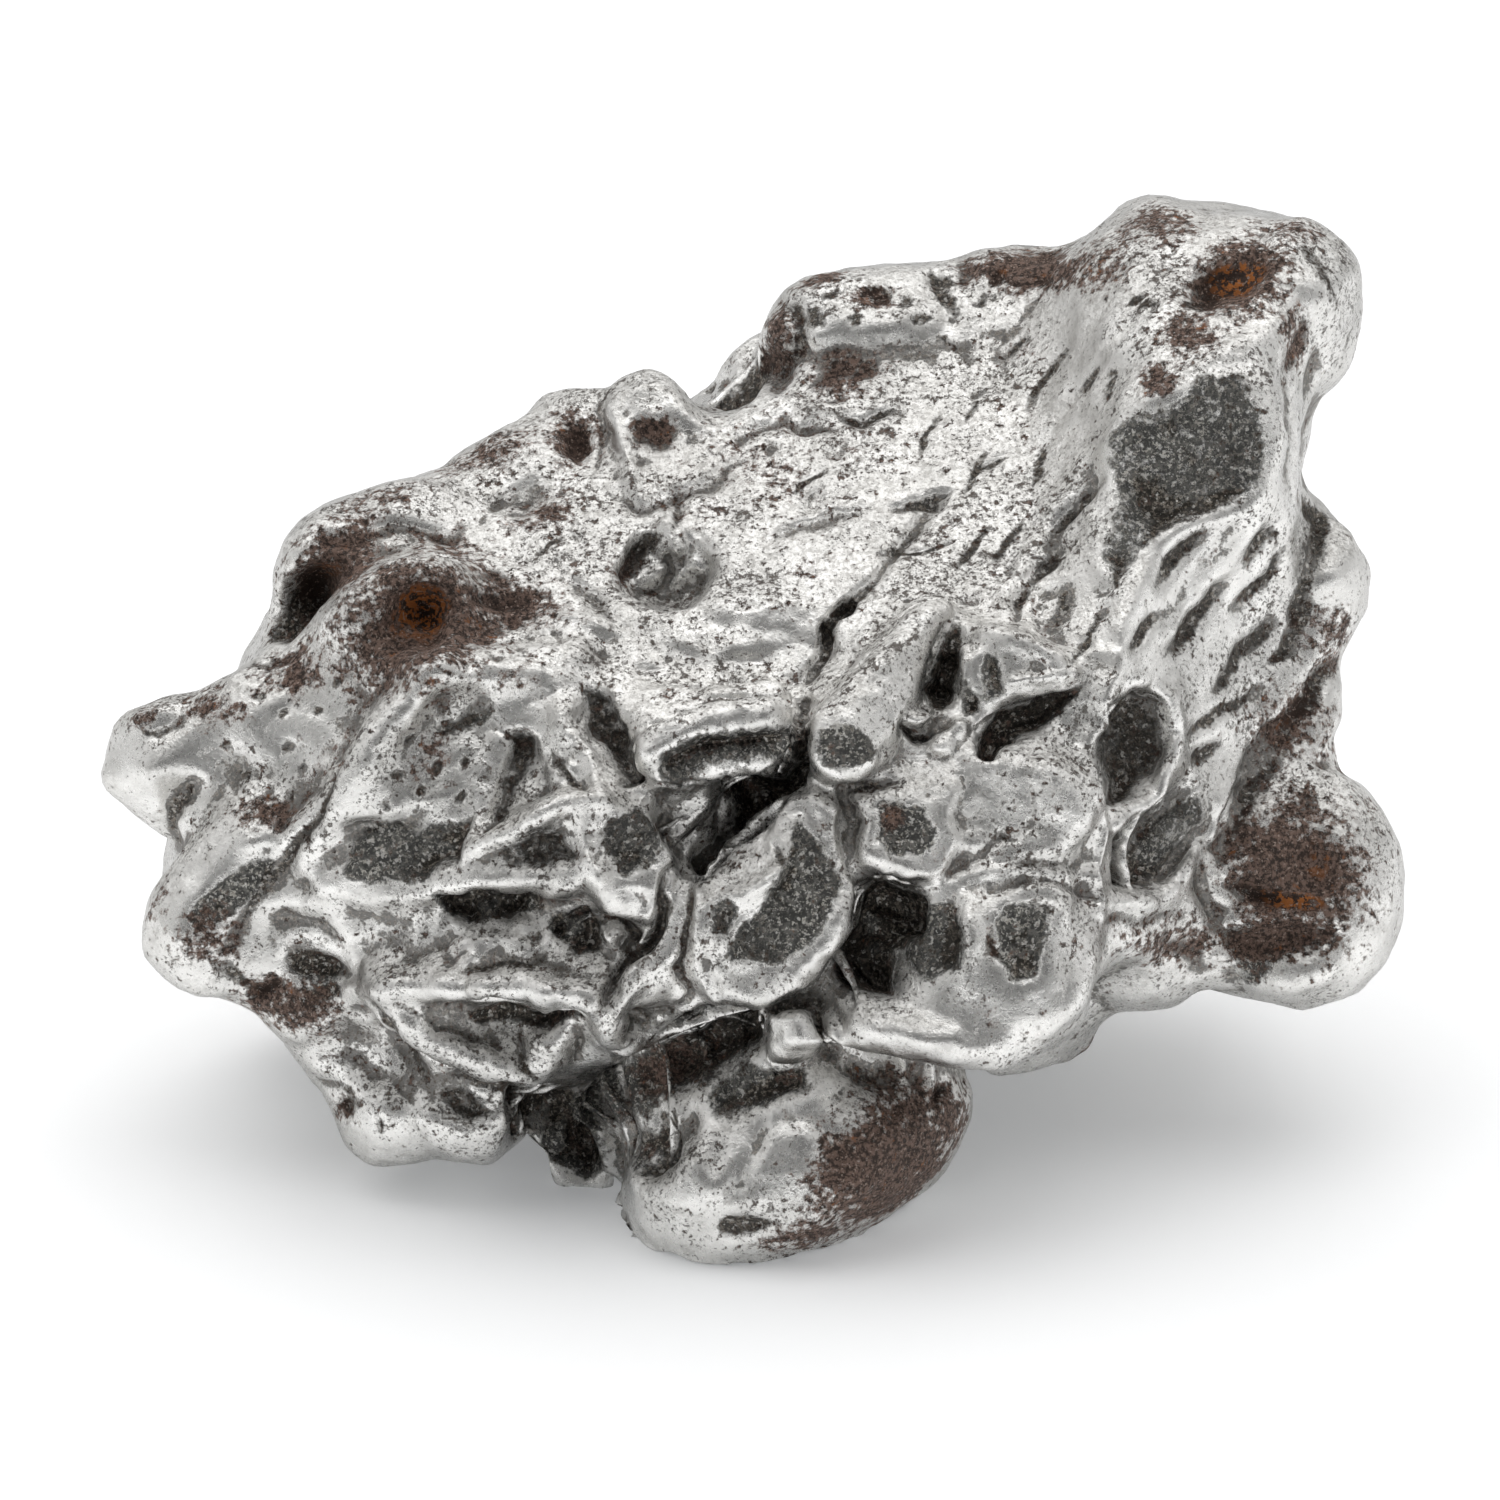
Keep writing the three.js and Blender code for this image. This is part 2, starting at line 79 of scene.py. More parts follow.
# %% [markdown]
# ## The fine skin
# The solid has about ten and a half thousand flat triangles. A copy is welded, because its
# triangles are loose, and each edge is cut into six, which gives enough points to model dents of
# half a millimetre. The solid's own flat facets are then relaxed away, in a way that doesn't
# shrink the stone: each smoothing step is followed by one that swells it back.

# %% A fine copy of the solid
CUTS = 5
RELAX_ROUNDS = 16
WELD_DISTANCE = 1e-6
skin_mesh = bpy.data.meshes.new("fine_skin")
build = bmesh.new()
build.from_mesh(solid.data)
bmesh.ops.remove_doubles(build, verts=build.verts, dist=WELD_DISTANCE)
bmesh.ops.subdivide_edges(build, edges=build.edges, cuts=CUTS, use_grid_fill=True)
bmesh.ops.triangulate(build, faces=build.faces)
build.to_mesh(skin_mesh)
build.free()

points = np.empty(len(skin_mesh.vertices) * 3)
skin_mesh.vertices.foreach_get("co", points)
points = points.reshape(-1, 3) * TO_MM
edges = np.empty(len(skin_mesh.edges) * 2, dtype=np.int32)
skin_mesh.edges.foreach_get("vertices", edges)
edges = edges.reshape(-1, 2)
corners = np.empty(len(skin_mesh.loops), dtype=np.int32)
skin_mesh.loops.foreach_get("vertex_index", corners)
corners = corners.reshape(-1, 3)
count = len(points)
neighbours = np.bincount(edges.ravel(), minlength=count)
print("the fine skin has", count, "points and", len(corners), "triangles")


# %% Relaxing and the way a point faces
SMOOTHING = 0.6
SWELLING = 0.62


def neighbour_mean(values):
    """The mean of each point's neighbours, along the mesh's edges."""
    total = [
        np.bincount(edges[:, 0], values[edges[:, 1], k], count)
        + np.bincount(edges[:, 1], values[edges[:, 0], k], count)
        for k in range(values.shape[1])
    ]
    return np.stack(total, axis=1) / neighbours[:, None]


def relaxed(values, rounds, swell_back=True):
    """Values smoothed over the skin; with swell_back a shape keeps its size."""
    values = values.copy()
    for _ in range(rounds):
        values += SMOOTHING * (neighbour_mean(values) - values)
        if swell_back:
            values -= SWELLING * (neighbour_mean(values) - values)
    return values


def facing(shape):
    """The unit normal at each point."""
    a, b, c = (shape[corners[:, k]] for k in range(3))
    across = np.cross(b - a, c - a)
    total = np.stack(
        [
            sum(np.bincount(corners[:, k], across[:, axis], count) for k in range(3))
            for axis in range(3)
        ],
        axis=1,
    )
    return total / np.maximum(np.linalg.norm(total, axis=1, keepdims=True), 1e-12)


points = relaxed(points, RELAX_ROUNDS)
print("relaxed; the stone is", (points.max(0) - points.min(0)).round(2), "mm")


# %% [markdown]
# ## Seeded patterns
# Two patterns break up everything that would look too regular: a rolling grain, and scattered
# rounded cells. Both start from a seed, so that each run gives the same stone.

# %% Seeded patterns
def picked(shuffle, cell):
    """A number from 0 to 255 for each cell, the same whenever the cell comes up."""
    key = cell & 255
    return shuffle[(shuffle[(shuffle[key[:, 0]] + key[:, 1]) & 255] + key[:, 2]) & 255]


def grain(shape, size, seed):
    """Rolling noise, about -1 to 1, with lumps of this size in millimetres."""
    random = np.random.default_rng(seed)
    shuffle = random.permutation(256)
    slopes = random.normal(size=(256, 3))
    slopes /= np.linalg.norm(slopes, axis=1, keepdims=True)
    scaled = shape / size
    cell = np.floor(scaled).astype(int)
    part = scaled - cell
    blend = part**3 * (part * (part * 6 - 15) + 10)
    total = np.zeros(len(shape))
    for corner in range(8):
        step = np.array([corner & 1, corner >> 1 & 1, corner >> 2 & 1])
        slope = slopes[picked(shuffle, cell + step)]
        weight = np.prod(np.where(step, blend, 1 - blend), axis=1)
        total += weight * ((part - step) * slope).sum(1)
    return total * 1.6


def cells(shape, size, seed):
    """Distance to the nearest of scattered points, in cell sizes."""
    random = np.random.default_rng(seed)
    shuffle = random.permutation(256)
    places = random.random((256, 3))
    scaled = shape / size
    cell = np.floor(scaled).astype(int)
    nearest = np.full(len(shape), np.inf)
    for corner in range(27):
        step = np.array([corner % 3, corner // 3 % 3, corner // 9]) - 1
        place = places[picked(shuffle, cell + step)]
        nearest = np.minimum(nearest, np.linalg.norm(cell + step + place - scaled, axis=1))
    return nearest


print("two patterns: grain and cells")


# %% [markdown]
# ## Marks
# Four kinds of mark shape the metal. A facet is a patch pressed nearly flat, a ridge is a raised
# fold, a groove is a cut, and a dome is a round knob or, pressed in, a round dent. Each is given
# by places on the board. A line or an outline is one row of numbers, across and up by turns. A
# mark acts only on the metal that the eye can see there, so that it doesn't print through to the
# back.

# %% What the eye can see
SIGHT_CELL = 0.6
SIGHT_CELLS = 150
SIGHT_REACH = 45
HIDDEN_FROM = 2.5
HIDDEN_BY = 4.0


def step_up(value, low, high):
    """0 below low and 1 above high, with a smooth rise between."""
    part = np.clip((value - low) / (high - low), 0, 1)
    return part * part * (3 - 2 * part)


def seen(shape):
    """1 where the eye sees the metal, falling softly to 0 at the stone's edge and behind it."""
    across, up, out = on_board(shape)
    cell = ((np.stack([across, up]) + SIGHT_REACH) / SIGHT_CELL).astype(int)
    cell = np.clip(cell, 0, SIGHT_CELLS - 1)
    nearest = np.full((SIGHT_CELLS, SIGHT_CELLS), -np.inf)
    np.maximum.at(nearest, (cell[0], cell[1]), out)
    behind = nearest[cell[0], cell[1]] - out
    to_eye = EYE - shape
    to_eye /= np.linalg.norm(to_eye, axis=1, keepdims=True)
    turned = (facing(relaxed(shape, 8)) * to_eye).sum(1)
    return step_up(turned, 0.02, 0.25) * (1 - step_up(behind, HIDDEN_FROM, HIDDEN_BY))


# %% Distances on the board
def pairs(numbers):
    """Places on the board from a row of numbers: across, up, across, up and so on."""
    return np.array(numbers, float).reshape(-1, 2)


def from_line(across, up, places):
    """Distance from a line of places, and how far along it the nearest point is, from 0 to 1."""
    places = np.array(places, float)
    lengths = np.hypot(*(places[1:] - places[:-1]).T)
    total = lengths.sum()
    best = np.full(len(across), np.inf)
    along = np.zeros(len(across))
    start = 0.0
    for (ax, ay), (bx, by), length in zip(places[:-1], places[1:], lengths):
        dx, dy = bx - ax, by - ay
        part = np.clip(((across - ax) * dx + (up - ay) * dy) / (length * length + 1e-9), 0, 1)
        gap = np.hypot(across - ax - part * dx, up - ay - part * dy)
        nearer = gap < best
        best = np.where(nearer, gap, best)
        along = np.where(nearer, (start + part * length) / total, along)
        start += length
    return best, along


def inside(across, up, outline):
    """Distance inside an outline, positive within."""
    outline = list(outline)
    gap, _ = from_line(across, up, outline + outline[:1])
    within = np.zeros(len(across), bool)
    for (ax, ay), (bx, by) in zip(outline, outline[1:] + outline[:1]):
        crosses = (ay > up) != (by > up)
        with np.errstate(divide="ignore", invalid="ignore"):
            at = ax + (up - ay) * (bx - ax) / (by - ay)
        within ^= crosses & (across < at)
    return np.where(within, gap, -gap)


def from_middle(across, up, middle, radii, turn=0.0):
    """0 at the middle of an ellipse, 1 on its rim."""
    cosine = math.cos(math.radians(turn))
    sine = math.sin(math.radians(turn))
    dx, dy = across - middle[0], up - middle[1]
    return np.hypot((dx * cosine + dy * sine) / radii[0], (dy * cosine - dx * sine) / radii[1])


def taper(along, least, power):
    """1 in the middle of a line, falling to least at its ends."""
    return least + (1 - least) * np.sin(np.clip(along, 0.02, 0.98) * math.pi) ** power


print("a line, an outline and an ellipse can be measured on the board")


# %% The stone's marks, gathered
class Marks:
    """Collects marks over the seen metal, then moves the points once."""

    PRESSED = 0.9
    RUBBLE = 0.42
    TOWARDS_EYE = 0.5

    def __init__(self, shape):
        self.shape = shape
        self.across, self.up, self.out = on_board(shape)
        self.across = self.across + 0.30 * grain(shape, 1.9, 1) + 0.13 * grain(shape, 0.7, 2)
        self.up = self.up + 0.30 * grain(shape, 1.9, 3) + 0.13 * grain(shape, 0.7, 4)
        self.rubble = grain(shape, 1.5, 5) + 0.6 * grain(shape, 0.7, 6)
        self.eye = seen(shape)
        self.rise = np.zeros(len(shape))
        self.film_and_reflection = np.zeros(len(shape))
        self.crevice_shade = np.zeros(len(shape))
        self.made = 0

    def near(self, places, reach):
        """The seen points in reach of some places, for one more mark."""
        self.made += 1
        places = np.array(places, float)
        low, high = places.min(0) - reach, places.max(0) + reach
        return np.nonzero(
            (self.across > low[0]) & (self.across < high[0])
            & (self.up > low[1]) & (self.up < high[1]) & (self.eye > 0.01)
        )[0]

    def ridge(self, places, width, rise, sharp=1.0):
        """A raised fold along a line: width is from its crest to its foot."""
        places = pairs(places)
        who = self.near(places, width)
        gap, along = from_line(self.across[who], self.up[who], places)
        shape = np.clip(1 - gap / width, 0, 1)
        shape = shape * shape * (3 - 2 * shape) * (1 - sharp) + shape ** 1.3 * sharp
        self.rise[who] += rise * shape * taper(along, 0.35, 0.6)

    def groove(self, places, width, depth, dark=1.0):
        """A cut along a line, with painted shade at the bottom."""
        places = pairs(places)
        who = self.near(places, width)
        gap, along = from_line(self.across[who], self.up[who], places)
        shape = np.clip(1 - gap / width, 0, 1) ** 1.3
        ends = taper(along, 0.25, 0.5)
        self.rise[who] -= depth * shape * ends
        self.crevice_shade[who] = np.maximum(self.crevice_shade[who], dark * np.clip(1.5 * shape, 0, 1) * ends)

    def dome(self, middle, radii, turn, rise, dark=0.0):
        """A round knob, or a round dent where rise is below zero, with painted shade where dark is given.
        """
        who = self.near([middle], max(radii) * 1.1)
        ring = from_middle(self.across[who], self.up[who], middle, radii, turn)
        shape = np.clip(1 - ring * ring, 0, 1)
        self.rise[who] += rise * shape
        self.crevice_shade[who] = np.maximum(self.crevice_shade[who], dark * np.clip(shape * 1.6, 0, 1))

    def facet(self, outline, sink, lean=(0.0, 0.0), film_and_reflection=1.0, soft=0.8):
        """A patch pressed towards a plane that faces the eye, or leans away from it."""
        outline = pairs(outline)
        who = self.near(outline, soft)
        depth = inside(self.across[who], self.up[who], outline)
        amount = step_up(depth, -soft * 0.4, soft)
        inner = depth > 0
        middle = np.mean(outline, axis=0)
        level = np.mean(self.out[who][inner]) - sink
        plane = level + lean[0] * (self.across[who] - middle[0])
        plane = plane + lean[1] * (self.up[who] - middle[1])
        self.rise[who] += amount * self.PRESSED * (plane - self.out[who] - self.rise[who])
        self.rise[who] += amount * min(abs(sink), 2.0) * self.RUBBLE * self.rubble[who]
        # Facets get dark film together with a painted dark reflection.
        self.film_and_reflection[who] = np.maximum(self.film_and_reflection[who], film_and_reflection * step_up(depth, -0.55, 0.45))

    def moved(self):
        """The shape with its marks, moved along the softened normals."""
        direction = facing(relaxed(self.shape, 12))
        direction = direction + self.TOWARDS_EYE * (EYE - self.shape) / EYE_DISTANCE
        direction /= np.linalg.norm(direction, axis=1, keepdims=True)
        return self.shape + direction * (self.rise * self.eye)[:, None]

    def tell(self, part):
        """Print how many marks there are so far."""
        print(self.made, "marks, with those on", part)


marks = Marks(points)
ridge = marks.ridge
groove = marks.groove
dome = marks.dome
facet = marks.facet
print("the eye sees", int((marks.eye > 0.5).sum()), "of", count, "points")

# %% [markdown]
# ### The left end
# A blunt nose with a thin lifted flake, a long lobe under it, the black cave beside the rusty hump,
# and the bright fold that runs up the left slab.

# %% Marks on the left end
ridge((-31.4, 1.2, -30.2, 1.5, -28.8, 2.2), 0.6, 0.8)
groove((-31, 0.6, -29.4, 1.1, -28.2, 1.4), 0.35, 0.5, 0.8)
groove((-27.9, -1.6, -28.9, -3, -29, -4.3), 0.5, 1)
facet((-24.3, 5.6, -23.4, 7.8, -21.8, 8.9, -20.3, 9.2, -20.8, 8, -22, 6.6, -23, 5.7), 1.9, (0.2, -0.2), 0.8)
groove((-23.8, 6.6, -22.4, 8.3, -20.5, 9.1), 0.9, 1.5)
groove((-25.6, 4.5, -24, 4.3, -22.4, 5.2), 0.4, 0.4, 0.6)
dome((-16.6, 6.7), (2.4, 1.8), 30, -1.5, 0.3)
dome((-16.3, 7.2), (1.9, 1.4), 20, -1.1, 1)
dome((-20.4, 7), (1.3, 2), -20, 0.5)
dome((-18, 3.9), (1.5, 0.9), 30, 0.4)
ridge((-20, 5.4, -18.8, 8.2, -16.4, 9.6, -13.6, 8.7), 1.3, 0.4, 0.3)
ridge((-19, 4.2, -16, 4.3, -13.6, 6.4), 1.2, 0.4, 0.3)
groove((-14, 7.7, -12.4, 7.3, -11, 7.4), 0.45, 0.4, 0.7)
for middle, radii, turn, depth in (
    ((-23.3, 2), (0.5, 0.3), 40, 0.3), ((-23.1, 0.1), (0.5, 0.3), 10, 0.3),
    ((-25.3, -1.2), (0.5, 0.25), -20, 0.25), ((-26.2, 0.4), (0.4, 0.3), 20, 0.2),
    ((-21.6, 2), (0.4, 0.3), 0, 0.25), ((-24.6, 2.8), (0.5, 0.25), 20, 0.25),
    ((-22.3, -0.9), (0.4, 0.25), 30, 0.25), ((-27.4, 0), (0.4, 0.25), 0, 0.2),
    ((-20.6, 3.4), (0.5, 0.3), 30, 0.3),
):
    dome(middle, radii, turn, -depth, 0.8)
groove((-20.2, -0.6, -21.3, -3, -22.2, -4.2, -23.5, -6, -25, -8, -26.3, -10), 0.45, 1)
dome((-24.7, -4.6), (1.2, 0.8), 20, 0.4)
facet(
    (-28.1, -8.3, -26.8, -6.9, -24.8, -5.6, -23.7, -5.7, -24.5, -7, -26.2, -8.3, -27.8, -9.2),
    0.25, (0.1, 0.1), 1,
)
dome((-28.6, -9.7), (0.5, 0.6), 20, -0.25, 0.5)
ridge((-23.8, -7.7, -21.6, -7.7, -20.3, -8.8, -19.8, -10), 0.9, 0.3, 0.2)
groove((-23.4, -8.5, -21.4, -8.6, -20.3, -9.6), 0.4, 0.3, 0.6)
facet((-23.5, -10.3, -21.6, -10.2, -20.2, -10.9, -21, -11.5, -22.8, -11.3), 0.8, (0, 0.2), 0.9, 0.6)
facet((-22.6, -11.9, -20.6, -11.6, -20.2, -12.2, -21.6, -12.8), 0.5, (0, 0.2), 0.8, 0.5)
groove((-27, -10.4, -25.6, -11.4, -24.5, -12.2), 0.35, 0.6)
groove((-24.8, -12.5, -23.6, -11.5), 0.5, 1)
marks.tell("the left end")

# %% Marks on the left slab
facet(
    (-19.8, -3.4, -17.8, 0.8, -15.6, 2.8, -13, 3, -12.2, 1, -13.2, -1.8, -15.4, -3.4, -18, -3.8),
    0.1, (0, -0.2), 0, 1.6,
)
ridge((-22.5, -5.2, -19.6, -1.2, -17.6, 2.2, -15.8, 3.8), 1.7, 0.8, 0.3)
ridge((-16, 3.9, -12.4, 3.9, -9.4, 3.8), 1.5, 0.5, 0.3)
facet((-15.3, 1.2, -14, 1.9, -12.7, 2.3, -13.2, 1.5, -14.4, 1), 0.5, (0, 0.1), 0.8, 0.4)
groove((-12.4, 0.9, -11.6, 0.4, -11.8, -0.8), 0.3, 0.5, 0.9)
for middle, radii, turn in (
    ((-16.9, 0.4), (0.5, 0.3), 40), ((-15.6, -0.8), (0.6, 0.3), 60), ((-16.4, -2), (0.4, 0.3), 0),
    ((-14.4, -0.4), (0.4, 0.3), 20), ((-17.6, -1.4), (0.4, 0.2), 50), ((-15, 1), (0.5, 0.25), 30),
    ((-18.4, -2.6), (0.4, 0.25), 60), ((-14.6, -2.2), (0.5, 0.3), 80),
):
    dome(middle, radii, turn, -0.25, 0.8)
facet(
    (-20.3, -6.3, -20, -4.9, -18.6, -3.5, -17.4, -3.2, -16.7, -3.9, -14.4, -3.5, -13.9, -3.2, -14.6, -5.4,
     -16.1, -6.3, -18.2, -6.7),
    0.4, (0, 0.05), 0.75,
)
facet(
    (-11.9, 1.1, -10.7, 0.8, -10.6, -0.6, -11.4, -1.8, -12.4, -3.4, -13.6, -4.2, -12.8, -2.8, -12, -1),
    0.9, (0, 0.1), 0.5, 0.7,
)
ridge((-14.2, -5.2, -11.6, -3.9, -9.4, -2.7, -7.4, -2.5), 0.8, 0.8, 0.5)
facet((-13, -4.9, -10.8, -4.1, -9.2, -4, -8.8, -5.4, -10.6, -5.9, -12.6, -5.7), 0.4, (0, 0.1), 0.6, 0.6)
dome((-11.7, -4.9), (0.5, 0.4), 0, 0.3)
facet(
    (-8.5, 3.2, -7.5, 3.3, -6.6, 1.6, -5.9, 0, -5.4, -1.8, -6.2, -1.5, -7.2, 0.2, -8.3, 2),
    1.1, (0.2, 0), 0.6, 0.7,
)
ridge((-9.6, 3.2, -9.2, 1.2, -8.2, -0.6, -7.2, -2.4), 0.8, 0.5, 0.4)
dome((-9.6, -1.2), (0.8, 0.5), 20, 0.4)
groove((-9.9, -0.4, -9, -1.8, -8, -2), 0.35, 0.5, 0.8)
facet((-7.2, -3.7, -5.4, -3, -4.7, -4.2, -4.8, -5.7, -6.2, -6.3, -7.4, -5), 0.4, (0, 0), 0.95)
ridge((-8, -2.6, -8.3, -5.4, -6.9, -7.6, -5, -8.2, -4.2, -6.5, -4.3, -4.6), 0.9, 0.7, 0.3)
ridge((-22.4, -7.2, -18, -7.3, -14, -6.7, -9.5, -6.2, -5.8, -6.8), 1.3, 0.7, 0.2)
marks.tell("the left slab")

# %% Marks on the lower left
facet(
    (-15.6, -7, -13.8, -7, -12, -6.9, -10.4, -7.1, -10.2, -8, -12.2, -8.2, -14, -8.7, -15, -8.2),
    1, (0, 0.1), 0.95, 0.6,
)
dome((-13.2, -7.9), (0.9, 0.4), 20, 0.6)
dome((-10.8, -7.6), (0.6, 0.6), 0, 1)
dome((-9.4, -7), (1, 0.6), 0, 0.5)
ridge((-14.6, -9, -12.8, -8.7, -11, -9), 0.5, 0.6, 0.5)
ridge((-14.8, -9.9, -12.6, -9.5, -10.8, -9.8), 0.5, 0.6, 0.5)
groove((-14.4, -11, -12.5, -10.6, -10.4, -10.4), 0.35, 0.9)
facet((-9.7, -8.3, -8.4, -8, -7.3, -8.8, -7.4, -9.8, -8.8, -10, -9.8, -9.2), 0.9, (0, 0), 0.95, 0.5)
ridge((-9, -9.4, -8.4, -8.6), 0.35, 0.7)
dome((-6.8, -9.2), (0.8, 0.8), 0, 0.9)
groove((-7.6, -8.4, -6.4, -8.2, -5.8, -9, -6.2, -10.2), 0.35, 0.8)
ridge((-19.6, -11.9, -15.5, -11.7, -12, -11.9, -8.2, -12.4, -7.5, -13.6), 1.1, 0.8, 0.3)
facet(
    (-14.1, -13, -12.2, -12.7, -9.6, -12.9, -8.4, -13.4, -10.6, -13.6, -13.4, -13.8),
    0.9, (0, 0.1), 0.9, 0.5,
)
groove((-19.1, -12.3, -17.2, -14.6, -16.1, -16.5), 0.45, 0.9)
ridge((-18.4, -12.6, -16.2, -14.4, -13.2, -15.6, -10.6, -16.6), 1.3, 0.7, 0.2)
groove((-19, -12.4, -15.2, -13.9, -12, -15.4), 0.35, 0.4, 0.5)
groove((-15.6, -16.4, -13, -16.8, -10.5, -17.2), 0.45, 0.9)
dome((-10, -14.8), (1.4, 1.3), 0, 0.9)
groove((-11.4, -14.2, -11.3, -15.8, -10.2, -16.5), 0.35, 0.6, 0.8)
groove((-8.7, -14.2, -8.5, -15.4), 0.3, 0.5, 0.8)
facet(
    (-16, -16.8, -14.4, -16.9, -12.2, -17.6, -12.6, -18.5, -14.2, -18.7, -15.4, -17.9),
    0.8, (0, 0.15), 0.55, 0.6,
)
groove((-16.1, -17, -15.4, -18.3, -14, -19, -12.6, -18.8), 0.35, 0.5, 0.7)
dome((-20.3, -17.8), (0.55, 0.5), 0, -0.7, 0.9)
groove((-21.6, -16.6, -20.2, -16.9, -19.6, -17.9, -20.4, -18.6), 0.4, 0.35, 0.6)
groove((-21.8, -15.4, -19.8, -15.4, -18.2, -16.4), 0.4, 0.4, 0.5)
groove((-18.8, -18.4, -18, -19.6), 0.3, 0.3, 0.6)
marks.tell("the lower left")

# %% [markdown]
# ### The middle of the face
# The lip, the finger beside it and the long almond below are thick smooth folds, with black clefts
# between them. The chasm above the front foot is a deep break full of broken metal.

# %% Marks on the lip, the finger and the cleft
facet(
    (-6, 9, -5.6, 10.8, -4.4, 11.6, -2.8, 11, -2, 9.4, -2.8, 7.8, -4.4, 7.2, -5.6, 7.8),
    0, (0.1, 0.15), 0.3,
)
groove((-6.1, 8.2, -5.7, 9.8, -4.6, 11.2), 0.7, 0.9, 0.9)
groove((-3.6, 11, -3.5, 12.8), 0.5, 0.5, 0.7)
dome((-4.9, 8.9), (0.9, 0.7), 30, 0.7)
dome((-3.4, 8.6), (0.9, 0.5), 40, 0.5)
dome((-3.6, 10.2), (0.7, 0.5), -20, 0.5)
groove((-4.4, 10, -3.9, 9.2, -4.4, 8.2), 0.3, 0.3, 0.6)
dome((-2.7, 9.4), (0.5, 0.6), 20, 0.4)
dome((-4.6, 10.2), (0.5, 0.4), 20, 0.5)
groove((0.8, 10.5, 3, 11.3, 6, 12.1), 0.5, 0.4, 0.5)
groove((7, 11.8, 9.5, 12.7), 0.5, 0.6, 0.8)
groove((9.5, 12.7, 8, 10.8, 6.5, 8.6), 0.5, 0.5, 0.6)
groove((6.5, 8.6, 5.2, 7.6, 4.2, 6.8, 3.7, 5.2, 3, 3.6), 0.55, 0.7, 0.9)
dome((4.7, 7.2), (0.7, 0.5), 30, -0.7, 1)
dome((3.7, 5.9), (0.4, 0.8), 0, -0.6, 0.9)
for places in (
    (-6, 4.6, -3.4, 3.6, -1.6, 3.8), (-4.2, 5.6, -1.8, 4.9, 0.8, 5.4), (-1.6, 3.4, 0.6, 3.2, 2.4, 4),
    (-2, 7.3, 0, 6.9, 2, 7.1), (-9.6, 6.8, -7.8, 6.2, -6.4, 6.6),
):
    ridge(places, 1.4, 0.45, 0.1)
facet(
    (-4.5, -1.4, -4.2, -0.2, -2.8, 0.6, 0, 0.9, 2.3, 1.2, 2.4, -0.4, 0.8, -0.2, -1, -0.3, -2.6, -0.6,
     -3.6, -1.5),
    0.5, (0, 0.2), 1, 0.6,
)
ridge((-5.6, 0.2, -4.6, 1.4, -2, 1.9, 0.6, 2.1, 2.5, 2.2), 1.3, 0.6, 0.1)
ridge((-4.6, -1.9, -3.2, -1.4, -1.6, -1, 0.6, -0.8, 2, -1), 0.7, 0.7, 0.3)
groove((2.75, 2.6, 2.6, 1.4, 2.5, -0.6, 1.9, -1.6), 0.5, 2)
facet(
    (2.5, -0.5, 1.7, -1.4, 0.5, -1.1, -1.4, -1.1, -1, -2.2, -0.5, -3, -1.5, -4.6, -3, -6.3, -2.2, -6.3,
     -0.5, -4.6, 1, -3.1, 2.6, -1.5),
    2.4, (0.1, 0), 1, 0.5,
)
groove((1.9, -1.4, 0, -2.2, -0.7, -3.8, -2.4, -5.8), 0.8, 1.6)
facet((-4.9, -2.2, -2.6, -1.8, -1.9, -3, -2.2, -4.6, -3.4, -5.8, -4.4, -4.6), 0.4, (0.2, 0.1), 0.3)
ridge((4.6, 2.2, 6.2, 3.8, 8, 5.8, 9.4, 7.2), 1.4, 0.6, 0.2)
facet((3.6, 1, 4.6, 1.5, 5.8, 1, 6, -0.1, 5, -0.8, 3.9, -0.6, 3.5, 0.1), 0.2, (0, 0.1), 1, 0.6)
ridge((3, 1.6, 3, -0.2, 4, -1.3, 5.4, -1.3, 6.6, -0.2, 7.4, 2), 0.8, 0.4, 0.2)
facet((10.4, 6.4, 9.3, 4.6, 8.7, 3, 9.3, 2, 10.1, 2.6, 10.4, 4.2), 2.2, (0.1, 0), 1, 0.4)
ridge((10.6, 4.8, 10.9, 3.2, 10.6, 2), 0.35, 0.8)
facet((10.9, 3.6, 11.3, 1.8, 10.6, 1.6), 0.9, (0, 0), 1, 0.3)
dome((8.5, 1.4), (0.7, 0.7), 0, 0.9)
groove((7.6, 1.2, 8.2, 0.4, 9.4, 0.6), 0.35, 0.8)
dome((9.6, 0.3), (0.7, 0.5), 30, 0.6)
dome((10.4, 0.9), (0.5, 0.5), 0, 0.7)
facet((11.3, 5, 12.4, 4.7, 12.8, 2.8, 11.8, 2.4), 0.3, (0.1, 0), 0.8, 0.5)
ridge((10.8, 6.2, 12.2, 5.8, 14, 5.2, 16, 4.2), 0.9, 0.6, 0.3)
facet(
    (11.3, -0.2, 12.4, 1.7, 14.4, 2.5, 16.8, 3.2, 15.4, 1.7, 13.6, 0.7, 12, -0.5),
    1.2, (0, 0.1), 0.95, 0.4,
)
ridge((13, 3.4, 14.6, 3.4, 16.4, 3.9), 0.5, 0.5, 0.5)
marks.tell("the lip, the finger and the cleft")

